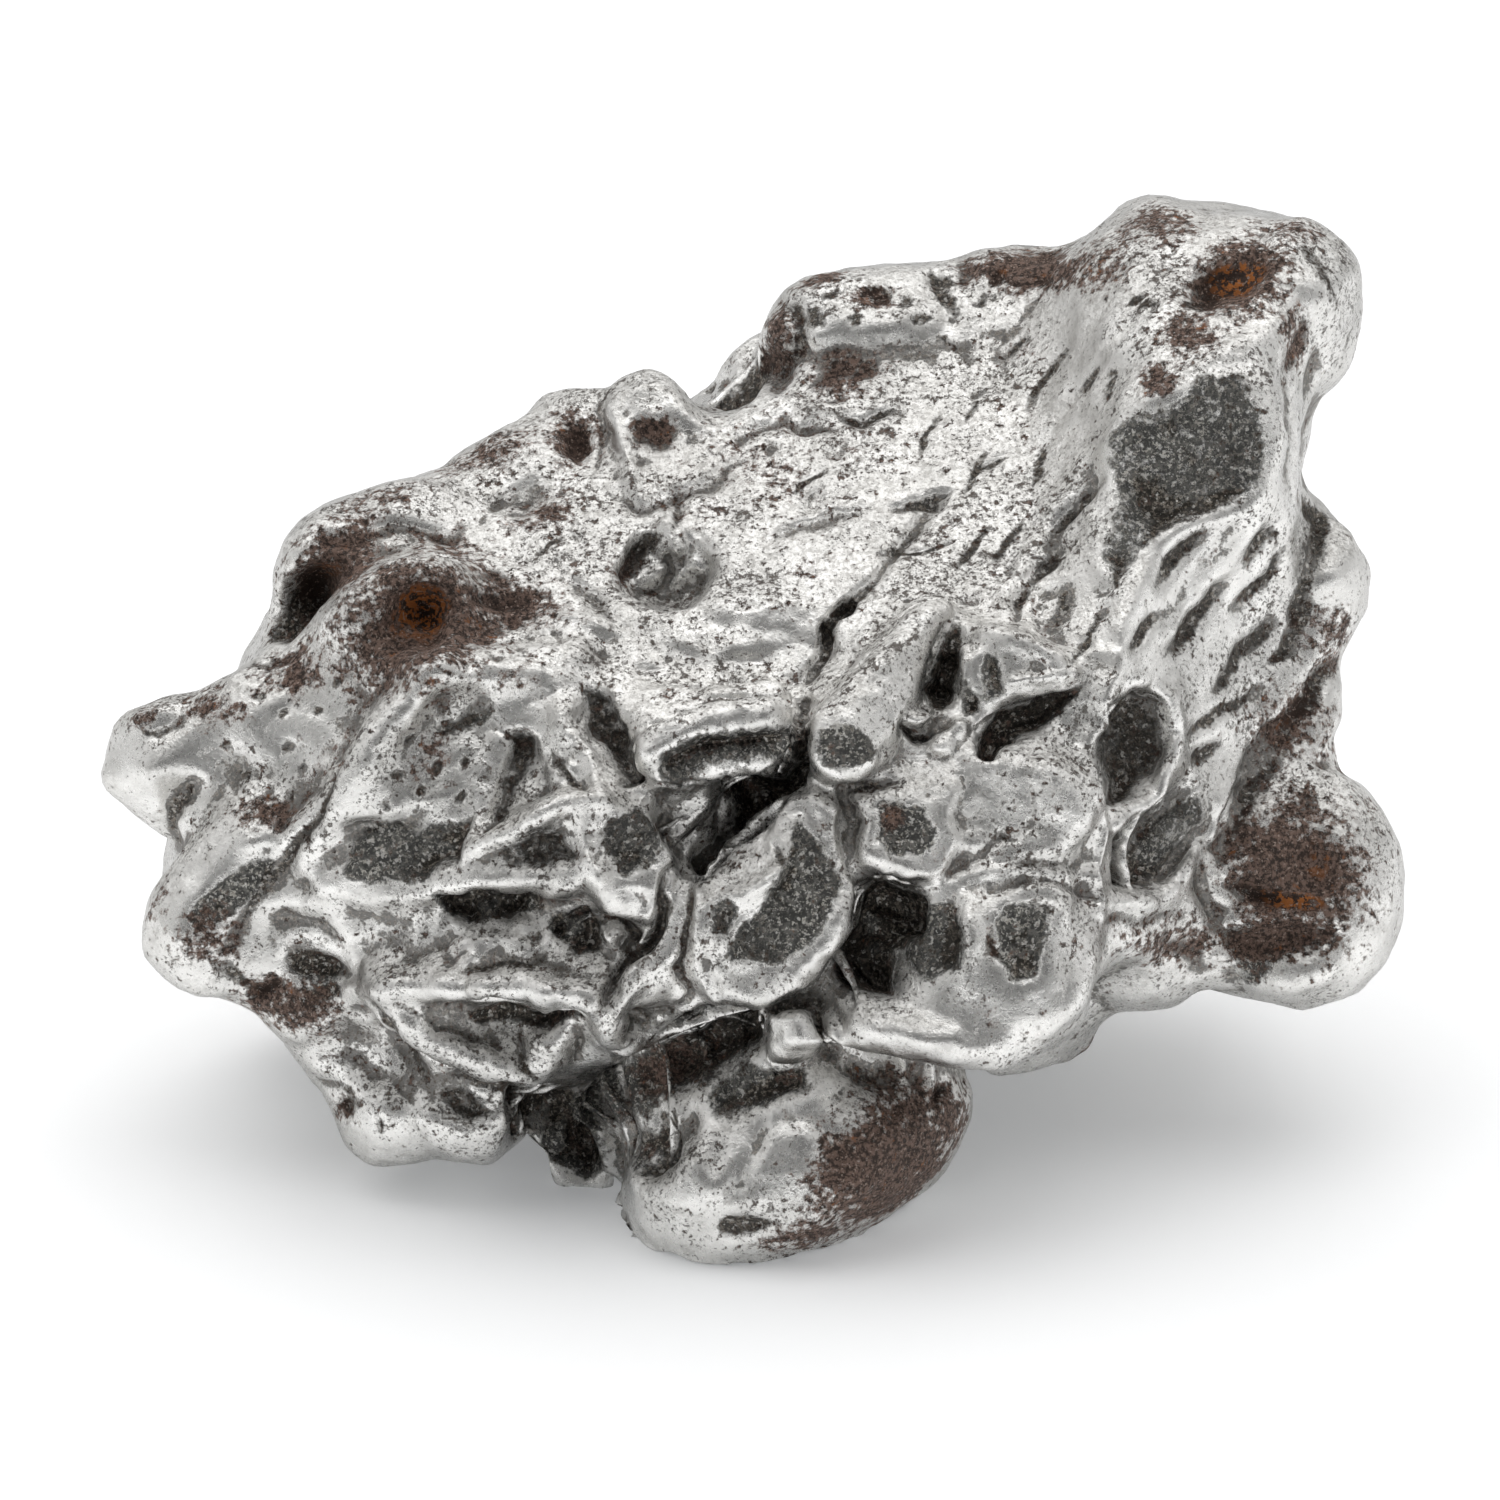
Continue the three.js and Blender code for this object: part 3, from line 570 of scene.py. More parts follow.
# %% Marks on the shield and the lobe beside it
facet(
    (10.8, -0.8, 13, -0.5, 15.6, -0.6, 16.8, -2, 16.9, -4.2, 14.6, -5.1, 11.8, -5.2, 10.4, -3.4),
    0.1, (0.14, 0.2), 0.25, 1.2,
)
groove((12.4, -5.9, 14.2, -5.6, 16.2, -5.9), 0.5, 0.35, 0.5)
groove((14, -1.6, 14.4, -3.2, 13.6, -4.6), 0.4, 0.15, 0.4)
groove((11.6, -5.4, 12.6, -4.4, 13.6, -4.8), 0.35, 0.3, 0.6)
facet((6.4, -2.6, 8.6, -2.8, 9.2, -4, 8.6, -5.2, 7, -5.4, 6.2, -4.4), 0.3, (0, 0.05), 1, 0.7)
ridge((5.7, -2.6, 5.5, -4.8, 6.8, -6.3, 9.2, -6.2, 10.2, -4.4, 9.9, -2.4), 1, 0.5, 0.2)
groove((10.6, -1, 10.4, -2.6, 10.9, -4.4), 0.6, 0.3, 0.3)
groove((4.6, -1.9, 5.8, -1.9, 7.4, -1.5), 0.45, 0.6, 0.8)
groove((4.6, -2, 5.2, -3.6, 4.9, -5.4), 0.7, 0.7, 0.5)
marks.tell("the shield")

# %% Marks on the almond
facet(
    (2.5, -3.5, 3.6, -4.8, 4.3, -6.5, 3.9, -8.2, 3, -9.6, 1.4, -10.6, -1.1, -10.6, -0.7, -9.3, 0.9, -7.5,
     1.8, -5.8),
    0.4, (0, 0.05), 1, 0.8,
)
facet((-1.6, -7.4, -0.6, -7.8, -0.9, -9.2, -1.8, -9), 0.3, (0, 0), 0.8, 0.4)
ridge((-1.6, -7.7, 0.4, -7, 1.6, -6, 2.3, -4.8), 0.7, 0.6, 0.3)
ridge(
    (-2.3, -6.8, -2.5, -9.2, -2.6, -11, -1.6, -12, 0.4, -12.1, 2.8, -11.1, 4.4, -9.2, 4.9, -7, 4.4, -5.4),
    1.1, 0.9, 0.2,
)
groove((-2.9, -6.4, -3.2, -8.6, -3.6, -10.8, -3, -12.6), 0.35, 0.6, 0.9)
ridge((1.4, -2.6, 3, -2.4, 4.2, -3.2, 4.2, -4.6), 0.7, 0.4, 0.2)
groove((1.1, -4.8, 1.6, -5.6, 2.4, -5), 0.3, 0.3, 0.7)
groove((-4.2, -6.2, -4.4, -8, -5, -9.3, -6.5, -11, -7.3, -12.6), 0.45, 1.3)
ridge((-5.3, -10.4, -6.4, -12.4, -7.3, -14.4), 0.9, 0.8, 0.3)
ridge((-7.2, -14.4, -6, -14.9, -4.8, -13.6, -3.4, -12.2), 0.5, 0.5)
facet((-6, -13.4, -4, -12.6, -3, -12.9, -4.2, -14.6, -6.2, -14.6), 0.7, (0.1, 0.1), 0.45)
marks.tell("the almond")

# %% Marks on the big right lobe and the hollow beside it
facet(
    (5.2, -6.8, 6.4, -6.4, 8.6, -7.6, 8.3, -9.2, 7.2, -10.2, 7, -12, 5.8, -12.2, 4.2, -11.6, 4.6, -9.6),
    2.2, (0.05, 0), 0.95, 0.5,
)
ridge((6.5, -9.4, 5.9, -10.8, 6.4, -12), 0.4, 1.6)
ridge((7.4, -7.8, 7.8, -9), 0.5, 1.2)
ridge((5.8, -7.6, 5.6, -9), 0.4, 0.8)
for middle, radii, turn, rise in (
    ((6.2, -7.4), (0.7, 0.5), 30, 0.8), ((6.8, -8.8), (0.6, 0.8), 0, 0.7),
    ((5.2, -10.2), (0.5, 0.8), 10, 0.7), ((8, -8), (0.5, 0.6), 0, 0.8), ((5.2, -11.6), (0.6, 0.5), 0, 0.8),
):
    dome(middle, radii, turn, rise)
groove((4, -11.4, 3.2, -13, 3.5, -14.4, 4.4, -15.2), 0.4, 1.1)
ridge((9.8, -6.9, 11.6, -6.1, 14.2, -5.9, 16.8, -6.4), 0.9, 0.6, 0.3)
ridge((12.6, -7.5, 14.2, -6.9, 15.6, -7.4, 15.2, -8.4), 0.5, 0.4, 0.4)
facet((8, -9.6, 9, -7.9, 10.2, -7.8, 10.8, -9.2, 10.6, -10.8, 9.2, -11.5, 8.2, -11), 0.3, (-0.1, 0.05), 1)
facet(
    (12.3, -8.2, 13, -7.7, 14.6, -7.9, 15, -9.4, 14.2, -11.2, 12.9, -11.6, 12.4, -10.2),
    0.3, (0.05, 0.05), 0.9,
)
ridge((11.1, -7.6, 11.2, -9.6, 10.9, -11.6), 0.7, 0.5, 0.3)
groove((12.1, -8.6, 11.9, -9.6, 12.6, -10.6), 0.3, 0.45, 0.9)
groove((11.6, -10.2, 12.2, -10.2), 0.25, 0.3, 0.7)
ridge((4.4, -13.2, 7, -14, 10, -14.9, 12.4, -15.2), 1.3, 0.6, 0.2)
ridge((17.3, -6.6, 17.2, -9.4, 16.4, -12.2, 14.4, -14.4), 1, 0.5, 0.2)
dome((4, -14.2), (1.2, 1), -20, 0.6)
facet((0.8, -13, 2.6, -12.8, 3.6, -14.6, 1.9, -15), -1, (0.1, 0.1), 0, 0.5)
groove((0.6, -12.9, 2, -12.7, 3.4, -12.4), 0.35, 0.8)
marks.tell("the big right lobe")

# %% Marks in the chasm and on the front foot
facet(
    (-11.8, -17, -9.8, -17, -8, -16.9, -7.2, -17.6, -7, -20.6, -8, -21.4, -10.2, -20.4, -11.6, -19.6),
    2, (0, 0), 0.9, 1.2,
)
facet(
    (-7.6, -18.8, -7.6, -16.4, -5.6, -15.2, -3, -13.4, 0.4, -12.9, 0.6, -14.4, -1.6, -15.6, -3.6, -17.2,
     -6, -18.6, -7, -20.6),
    1.5, (0, 0), 0.85, 1.2,
)
for middle, radii, turn, rise in (
    ((-8.4, -17.8), (1.2, 0.9), 30, 0.9), ((-7.2, -18.8), (1.2, 0.7), -50, 0.7),
    ((-6.4, -16.6), (1.3, 0.7), -60, 0.9), ((-4.6, -15.7), (1.2, 0.7), -50, 0.9),
    ((-2.8, -14.6), (1.3, 0.9), -20, 1), ((-1.2, -14.2), (1, 0.8), -30, 0.8),
    ((-7.8, -20.2), (1.2, 0.7), -50, 0.6), ((-9.6, -19.4), (0.8, 0.7), 10, 0.6),
    ((-5.6, -17.4), (1.1, 0.6), -60, 0.7), ((-2.2, -15.6), (0.9, 0.6), -30, 0.6),
    ((-10.6, -18.2), (0.7, 0.5), 60, 0.6),
):
    dome(middle, radii, turn, rise * 0.6)
ridge((-7.3, -21.2, -6, -18.9, -3, -17.4, -1, -15.9, 1.4, -15.2), 1.2, 0.7, 0.2)
facet((-6.1, -20.9, -5.4, -19.2, -3.8, -18.5, -3.2, -19.2, -4, -20.6, -5, -21.4), 0.5, (0.1, 0.1), 0.6, 0.6)
groove((-5.9, -20.4, -4.9, -18.9, -3.3, -18.3, -3.2, -19.4), 0.35, 0.7)
facet((-2, -18.3, -1.6, -17, 0.4, -15.9, 2.8, -16, 3, -17, 0.8, -17.6, -1, -18.3), 0.3, (0, 0.05), 1, 0.7)
ridge((-2.2, -19, 0.4, -18.2, 3.2, -17.4, 4.4, -16.2), 0.9, 0.5, 0.3)
groove((1.1, -18.6, 0.2, -20.4, -0.6, -22), 0.6, 0.4, 0.3)
groove((-2.2, -23.2, -1, -22.2, 0.4, -21.8), 0.45, 0.4, 0.5)
dome((-0.3, -23.9), (1.7, 0.6), 8, -0.7, 1)
facet((5, -15.3, 7.4, -15.6, 7.6, -16.6, 6, -17, 4.8, -16.2), 0.6, (0, 0.1), 0.5, 0.5)
dome((9.5, -17), (0.6, 0.4), 20, -0.5, 0.9)
ridge((2, -24.2, 4.6, -22, 6.8, -19.6, 8.4, -18.6), 1.4, 0.4, 0.2)
groove((3.2, -18.6, 4.6, -20.4, 4.4, -22.4), 0.8, 0.4, 0.2)
marks.tell("the chasm and the front foot")

# %% [markdown]
# ### The right flank and the prow
# The flank turns away from the long bright crest. It is streaked with shallow slanting cuts, has
# two oval hollows by the crest and ends in a rusty lobe. The prow above it has a flat dark front.

# %% Marks on the right flank
ridge((19.4, 8.6, 18.5, 6, 18.1, 3.8, 17.6, 2, 16.9, 0.5, 16.8, -1), 0.9, 0.9)
ridge((16.9, -1, 17.1, -2.8, 17.5, -4, 17.1, -6, 17.3, -8), 0.7, 0.9)
facet((17.5, 0.2, 18, 2.2, 19.2, 2.8, 20.3, 1.4, 20.3, -0.4, 19.2, -2, 17.9, -2.6), 0.8, (-0.3, 0), 0.6)
ridge((19.6, 3.4, 21.1, 2.6, 21.2, 0.2, 20.2, -2.4, 18.4, -3.6), 0.6, 0.6)
facet(
    (18.2, -4.5, 20.3, -2.9, 22.6, -2, 22.7, -3.2, 20.9, -5.4, 19.8, -6.8, 18.3, -6.8),
    0.6, (-0.2, 0.1), 0.6,
)
ridge((24.1, -1.6, 23, -4.4, 20.6, -7.4, 18.2, -7.6), 0.7, 0.7)
groove((26.2, 0.1, 25, -2, 24.5, -3.5, 23.3, -4.9), 0.7, 1)
for places, width, depth in (
    ((21.2, 4.8, 22.2, 6.6, 23.6, 8.2), 0.6, 0.6), ((20.4, 8.6, 21.4, 9.6, 22.7, 10.9), 0.7, 0.7),
    ((18.8, 5, 19.6, 6, 20.4, 6.8), 0.5, 0.5), ((27.2, 4.8, 28.1, 7.6), 0.6, 0.5),
    ((26.1, 4.4, 27.3, 5.8), 0.5, 0.5), ((23.2, 3, 24.8, 5.2, 26.4, 6.2), 0.6, 0.5),
    ((22, 0.6, 23.6, 2, 25.4, 2.9), 0.5, 0.4), ((24.6, 9.4, 26.2, 11), 0.6, 0.5),
    ((24.2, 7.2, 25.8, 8.6, 26.6, 10), 0.5, 0.4), ((19.6, 10.4, 21.6, 11.9, 24.6, 12.9), 0.6, 0.4),
    ((22.4, -0.6, 23.6, 0.4), 0.5, 0.4), ((29.2, 4.4, 28, 2.6, 26.4, 0.6), 0.8, 0.8),
    ((27.8, 12.6, 28.6, 11.4, 28.2, 9.6), 0.7, 0.8), ((28.2, 9.4, 27.4, 7.4, 27, 5.4), 0.6, 0.5),
):
    groove(places, width * 0.95, depth * 0.95, 1)
ridge((23.2, 9.2, 24.8, 10.8, 25.8, 12.6), 0.8, 0.4)
ridge((20.8, 5.6, 22.4, 7.8, 24, 9.4), 0.7, 0.35)
dome((29.4, 9.2), (1.4, 2), -10, 0.4)
facet(
    (23.6, -9.2, 26.2, -8.4, 29.2, -8.6, 29.8, -9.8, 28, -10.3, 26, -10.9, 24.6, -12),
    0.8, (0, 0.1), 0.65, 0.7,
)
ridge((25.6, -12, 27.4, -11.6, 29.2, -10.8), 1.2, 0.6, 0.1)
facet((26.2, -3.6, 28.6, -3.2, 30.2, -5.2, 29.2, -7.6, 26.8, -7.2), 0.5, (0, 0.1), 0.2)
dome((28.6, -5.4), (1, 1.3), 20, -0.4, 0.3)
dome((25, -3.2), (1.2, 0.8), 30, 0.5)
groove((23.8, -6.8, 26, -7.4, 28.6, -7.6), 0.6, 0.8, 1)
dome((25, -5.6), (1.7, 1), 20, 0.5)
groove((22.9, -3.6, 22.6, -6.2, 23.2, -8.6, 24.2, -10.6), 0.7, 0.7, 0.5)
groove((17.6, -8.4, 19.8, -8.6, 22.4, -8), 0.9, 0.2, 0.5)
dome((20.4, -10.6), (1.8, 0.8), 0, 0.25)
marks.tell("the right flank")

# %% Marks on the prow
facet(
    (18.3, 15.4, 19, 16.5, 20.8, 17.1, 22.5, 18.7, 24.6, 19, 25.2, 17.8, 25.7, 15.4, 25.3, 13.2, 24, 12.4,
     22, 11.9, 20.4, 11.1, 19.4, 11, 18.8, 12.4, 18.1, 14),
    0.3, (0.04, 0.05), 0.68, 0.8,
)
facet((18.6, 12.4, 20.6, 11.6, 19.6, 9.8, 18.4, 8.8, 17.4, 9.6), 0.2, (0, 0), 0.55, 0.8)
ridge((25.8, 19.4, 26.2, 16.6, 25.8, 13.6, 24.4, 12, 21.2, 10.8), 0.8, 0.6)
ridge((19, 11, 18.4, 13, 17.8, 14.8, 18.6, 16.8, 20.8, 17.6, 22.4, 19.4, 24.8, 20, 27, 22.4), 0.9, 0.5)
groove((27, 12.4, 27.3, 15.6, 26.9, 18.8, 28, 21.6), 0.6, 0.5, 0.4)
facet((21, 23.2, 22.6, 22.4, 24.6, 22.4, 26.2, 24.2, 25, 25.4, 22.8, 24.4), 0.6, (0.05, -0.4), 0.1)
dome((24, 23.7), (2.2, 0.9), 15, -0.8, 0.8)
dome((22.4, 22.6), (1, 0.5), 10, -0.5, 0.8)
dome((19.6, 22.4), (1, 0.4), 0, -0.4, 0.9)
ridge((26.6, 23.4, 28.4, 23.4, 29.4, 21), 0.8, 0.4)
groove((27.3, 25.8, 28.4, 24.4, 29.2, 22.2), 0.5, 0.5, 0.7)
for places, width, depth in (
    ((16.4, 17.9, 17.4, 19.4), 0.5, 0.7), ((17.7, 17.4, 18.3, 19.1), 0.5, 0.7),
    ((10.6, 12.7, 12, 15.1), 0.5, 0.7), ((14.1, 13.1, 14.8, 15.3), 0.5, 0.8),
    ((15, 10.4, 16, 11.6, 17.4, 13.1), 0.9, 1.4), ((14, 8.4, 15.6, 10.1), 0.7, 1),
    ((13.3, 6.9, 14, 8.1), 0.5, 0.8), ((15.4, 6.1, 15.8, 8), 0.8, 1.1),
    ((16, 4.2, 17, 5.4, 17.8, 7.1), 0.5, 0.9), ((12, 9.4, 13.6, 11.6), 0.5, 0.5),
    ((18.2, 8.2, 18.5, 9.8), 0.5, 0.8), ((10.4, 9, 12.2, 11.4), 0.5, 0.4),
    ((10.8, 16.4, 11.4, 17.8), 0.4, 0.5), ((14, 17, 14.8, 18.8, 15.8, 20.2), 0.6, 0.4),
    ((6.4, 10, 8.4, 9.6, 10.2, 10.4), 0.5, 0.4), ((12.6, 19.6, 14.2, 20.8), 0.5, 0.4),
    ((4.2, 16.8, 5.8, 16.4, 7.4, 17), 0.6, 1.1), ((9.6, 20.8, 10.6, 20), 0.6, 0.9),
    ((11.6, 14, 13, 14.6), 0.5, 0.9), ((8.6, 14.8, 9.4, 16.6), 0.45, 0.7),
    ((2.2, 12.8, 3.8, 14), 0.5, 0.6), ((-10.6, 9.8, -9.2, 10.8), 0.5, 0.6),
):
    groove(places, width * 0.6, depth * 0.5, 0.9)
ridge((12.6, 7.4, 14.6, 10.8, 16.6, 14.4), 0.8, 0.5)
marks.tell("the prow")

# %% Marks along the top edge
dome((9.5, 23.4), (0.8, 0.5), 0, -0.7, 1)
groove((9, 24.2, 9.4, 22.6, 10.4, 21.6), 0.5, 0.7)
groove((10.8, 25, 10.6, 22.6), 0.7, 0.7, 0.4)
groove((1.2, 22.4, 2.6, 21.8, 2.4, 19.8, 1, 18.4), 0.7, 1, 0.8)
dome((1.2, 18.9), (1, 1.2), 0, -0.6, 0.5)
ridge((2.4, 20.9, 4.6, 21.1, 6.6, 21, 9.6, 21.3), 1.9, 0.8, 0)
ridge((1.4, 21.6, 2.4, 22.6, 4, 23.2), 0.8, 0.4)
for middle, radii, turn in (
    ((4.2, 22.6), (0.7, 0.4), 30), ((6.4, 22.9), (0.9, 0.5), -20), ((7.8, 22.2), (0.5, 0.4), 0),
    ((5.2, 21.4), (0.6, 0.4), 10), ((3.4, 21.6), (0.5, 0.6), 0), ((8.6, 21.4), (0.8, 0.35), 20),
    ((12.4, 23.6), (0.7, 0.4), 10), ((14.8, 23.4), (0.6, 0.4), 0), ((11.4, 22.4), (0.6, 0.4), 30),
):
    dome(middle, radii, turn, -0.35, 0.75)
groove((-3.2, 18.6, -1.8, 17.6, -0.4, 17.8, 0.6, 19.8), 0.9, 1.2, 1)
groove((-7.6, 17.6, -7.4, 15.4, -7.8, 14), 0.5, 0.3, 0.4)
dome((-8.7, 15.4), (0.8, 1.1), 0, -0.8, 0.7)
ridge((-6.8, 17.2, -6.2, 14.4, -5.6, 12.8), 0.7, 0.6)
ridge((-6.2, 18, -4.6, 18.2, -3, 16.4, -1.6, 15.4), 0.7, 0.5)
dome((-4.7, 15.8), (1.3, 1), 0, -0.6, 0.3)
groove((-7.4, 12.9, -5.4, 12, -2.8, 13.1, -0.2, 14.4), 0.7, 0.5, 0.5)
groove((-0.6, 15.2, 1.6, 16.4, 4.6, 16), 0.6, 0.4, 0.5)
ridge((-1.4, 15.8, 1.8, 17.4, 5, 17), 0.7, 0.35)
dome((-11.4, 12.4), (1.6, 1), 20, -0.4, 0.3)
groove((-19.6, 10.4, -17.6, 11.2, -15, 10.6), 0.6, 0.4, 0.4)
groove((-22.6, 9, -21.4, 10.4, -19.6, 10.8), 0.6, 0.5, 0.4)
ridge((-13.6, 5, -9.6, 6.4, -6.4, 5.6), 0.9, 0.4)
groove((-9.4, 8.4, -7.6, 7.4, -6.6, 6), 0.5, 0.4, 0.5)
marks.tell("the top edge")

# %% The marks pressed in
points = relaxed(marks.moved(), 2, swell_back=False)
points[:, 2] = np.maximum(points[:, 2], 0.0)
print("the marks rise", marks.rise.max().round(2), "mm and sink", (-marks.rise.min()).round(2), "mm")

# %% [markdown]
# ## Small dents all over
# Falling iron is dented all over, and weathering pits it again. The rounded cells meet in soft
# ridges, as thumbprint dents do, and the grain roughens what is between them.

# %% Dents and grain pressed in
normal = facing(relaxed(points, 6))
hidden = step_up(-(normal @ OUT), 0.1, 0.55)
warp = np.stack([grain(points, 5.0, seed) for seed in (11, 12, 13)], axis=1)
big_cells = cells(points + 1.6 * warp, 7.5, 21)
small_cells = cells(points + 0.8 * warp, 2.6, 22)
rise = hidden * 1.5 * (big_cells**2 - 0.42)
rise += (0.1 + 0.42 * hidden) * (small_cells**2 - 0.4)
rise += (0.10 + 0.12 * hidden) * grain(points, 1.7, 31)
rise += 0.05 * grain(points, 0.8, 32)
upper = step_up(normal @ UP_BOARD, 0.15, 0.55) * marks.eye
rise += upper * (0.09 * grain(points, 1.1, 33) - 0.16 * step_up(grain(points, 1.3, 34), 0.4, 0.75))
# The middles of the back's big dents also get dark film with a painted dark reflection.
film_and_reflection = np.maximum(marks.film_and_reflection * marks.eye, 0.5 * hidden * step_up(0.66 - big_cells, 0.0, 0.5))
points = points + normal * rise[:, None]
points[:, 2] = np.maximum(points[:, 2], 0.0)
print("dents and grain move the skin by up to", np.abs(rise).max().round(2), "mm")

# %% [markdown]
# ## Where the finishes go
# Five masks are kept with the points: dark film with painted dark reflection in the facets, painted shade
# in the crevices, brown rust, how proud or sunk a point is, and the upper face, which is pitted more finely
# than the rest. How proud a point is gets measured: it is compared with the skin relaxed around it, at
# three sizes of neighbourhood. Sunk points get painted shade; the valley beside the prow counts as less
# sunk, so it gets less of it.

# %% How proud or sunk each point is
softened = points
proud = np.zeros(count)
for rounds, size, share in ((4, 0.05, 0.45), (14, 0.14, 0.35), (50, 0.4, 0.2)):
    softened = relaxed(softened, rounds, swell_back=False)
    lift = ((points - softened) * facing(softened)).sum(1)
    proud += np.clip(lift / size, -1, 1) * share
across, up, out = on_board(points)
valley = from_middle(across, up, (14.4, 16.0), (3.4, 7.6), -22)
# The valley beside the prow gets less painted shade.
shade_lifted = marks.eye * (1 - step_up(valley, 0.6, 1.2))
proud = np.where(proud < 0, proud * (1 - 0.75 * shade_lifted), proud)
print("proud from", proud.min().round(2), "to", proud.max().round(2))

# %% Rust
rust = np.zeros(count)
for middle, radii, turn, amount in (
    ((-16.8, 6.6), (5.6, 4.4), 20, 1.1), ((-12.2, 7.2), (3.4, 1.8), 0, 0.75),
    ((-20.8, 9.4), (3.4, 2.4), 30, 0.85), ((-24.6, 8), (1.6, 3), 0, 0.6),
    ((-18.6, 12.2), (3.6, 1.2), 20, 0.5), ((-26.8, 2), (2.2, 1.4), 0, 0.65),
    ((-24.4, -3.2), (2.2, 1.2), 0, 0.7), ((-22.6, 3.8), (2.6, 1.4), 20, 0.7),
    ((-30.4, 1.6), (1.4, 0.6), 20, 0.6), ((-27.2, -9.4), (3.2, 2), 0, 0.55),
    ((-29.8, -6.8), (1, 3.4), 0, 0.55), ((-23, -12.8), (3.4, 1.8), -20, 0.85),
    ((-8.9, 15.6), (1.6, 1.8), 0, 0.75), ((-4.9, 16), (1.8, 1.3), 0, 0.7),
    ((-10.2, 11.8), (2.4, 1.2), 20, 0.5), ((-12, 3.6), (1.8, 1), 0, 0.4),
    ((-19.4, 5.2), (2.4, 2.8), -30, 0.6), ((-15.8, -0.6), (1.6, 2.2), -30, 0.42),
    ((-13, 14.8), (3.6, 1.2), 20, 0.55), ((24.4, 23.6), (3.8, 2.4), 20, 1.1),
    ((22, 20.8), (2.2, 1.6), 0, 0.75), ((20.6, 18.4), (1.6, 1.2), 0, 0.75),
    ((27.2, 20.8), (1, 2.4), 0, 0.55), ((14, 24), (4, 1.4), 0, 0.95), ((17.4, 24), (2.2, 2), 0, 0.75),
    ((20.4, 26.2), (3, 1.2), 0, 0.75), ((27.6, 26), (2, 1), 0, 0.6), ((4.8, 18.8), (2.4, 1.6), 20, 0.65),
    ((6.2, 22.6), (2, 0.9), 0, 0.6), ((1.4, 20.8), (1.2, 2.4), 0, 0.8), ((3.2, 23.6), (2.6, 0.9), 20, 0.7),
    ((27.4, -6.4), (4.6, 5.4), 0, 1.2), ((26.4, -9.6), (3.4, 1.6), 0, 0.7),
    ((27.4, 1.4), (3, 2.8), 0, 0.65), ((21.6, -9.6), (3.6, 2), 0, 0.55), ((29, 5.6), (1.8, 3.2), 0, 0.5),
    ((7.2, -3.4), (1, 0.9), 0, 0.75), ((12.2, -9.8), (0.5, 1), 20, 0.5),
    ((6.9, -20.6), (5.8, 4.2), 40, 1.2), ((9.4, -18.6), (2.4, 2.2), 30, 0.8),
    ((2.6, -24.2), (3.4, 1), 10, 0.7), ((-20.4, -18), (1.2, 1.2), 0, 0.5), ((-6.4, 9.2), (1, 1.6), 0, 0.4),
    ((-4.8, -16.4), (4, 1.6), 40, 0.45), ((0, 14), (8, 3), 15, 0.25),
):
    patch = from_middle(across, up, middle, radii, turn)
    rust = np.maximum(rust, marks.eye * min(amount, 1) * (1 - step_up(patch, 0.1, 1.3)))
patches = grain(points, 9.0, 41) + 0.4 * grain(points, 3.0, 42)
rust = np.maximum(rust, hidden * 0.95 * step_up(patches, 0.2, 0.55))
print("rust covers", round(float((rust > 0.4).mean() * 100), 1), "percent of the points")

# %% [markdown]
# ## The finished mesh
# The new places and the masks are written to the mesh. The modelling grid is finer than the stone
# needs on its smooth parts, so a Decimate modifier merges the flattest triangles.

# %% The stone object
TRIANGLE_LIMIT = 196000


def colour_layer(mesh, name, values):
    """Keep one number from 0 to 1 with each point of the mesh."""
    layer = mesh.attributes.new(name, "FLOAT", "POINT")
    layer.data.foreach_set("value", np.clip(values, 0, 1).astype(np.float32))


skin_mesh.vertices.foreach_set("co", (points * TO_METRES).ravel())
skin_mesh.polygons.foreach_set("use_smooth", np.ones(len(skin_mesh.polygons), bool))
skin_mesh.update()
stone = bpy.data.objects.new("fine_stone", skin_mesh)
bpy.context.scene.collection.objects.link(stone)
colour_layer(skin_mesh, "film_and_reflection", relaxed(film_and_reflection[:, None], 1, False)[:, 0])
colour_layer(skin_mesh, "crevice_shade", marks.crevice_shade * marks.eye)
colour_layer(skin_mesh, "rust", rust)
colour_layer(skin_mesh, "proud", 0.5 + 0.5 * proud)
colour_layer(skin_mesh, "upper", upper)
thin = stone.modifiers.new("thin", "DECIMATE")
thin.ratio = min(1.0, TRIANGLE_LIMIT / len(skin_mesh.polygons))
thinned = stone.evaluated_get(bpy.context.evaluated_depsgraph_get())
final_mesh = bpy.data.meshes.new_from_object(thinned)
stone.modifiers.remove(thin)
stone.data = final_mesh
stone.data.name = "fine_stone"
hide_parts("meteorite")
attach(stone, "root")
print("the finished stone has", len(stone.data.polygons), "triangles")

# %% [markdown]
# ## The metal
# Worn nickel-iron is bright and slightly warm where it is rubbed, dark where an oxide film is left in the
# dents and where a dark reflection is painted onto the facets, darker still where shade is painted into the
# crevices and sunk places, and brown where it rusts. The colour is mixed in that order from the masks, each
# with its edge broken up by a fine noise so that no border is smooth. Small bright specks are painted into
# the dark parts as glints, painted highlights, and the deepest rust has fresh orange in it.

# %% The material's building blocks
metal = bpy.data.materials.new("worn_iron")
metal.use_nodes = True
nodes = metal.node_tree.nodes
links = metal.node_tree.links
surface = nodes["Principled BSDF"]
place = nodes.new("ShaderNodeTexCoord").outputs["Object"]


def mask(name):
    """One of the masks kept with the points."""
    node = nodes.new("ShaderNodeAttribute")
    node.attribute_name = name
    return node.outputs["Fac"]


def noise(size, detail=4.0, roughness=0.6):
    """Noise with lumps of this size in millimetres."""
    node = nodes.new("ShaderNodeTexNoise")
    node.inputs["Scale"].default_value = TO_MM / size
    node.inputs["Detail"].default_value = detail
    node.inputs["Roughness"].default_value = roughness
    links.new(place, node.inputs["Vector"])
    return node.outputs["Fac"]


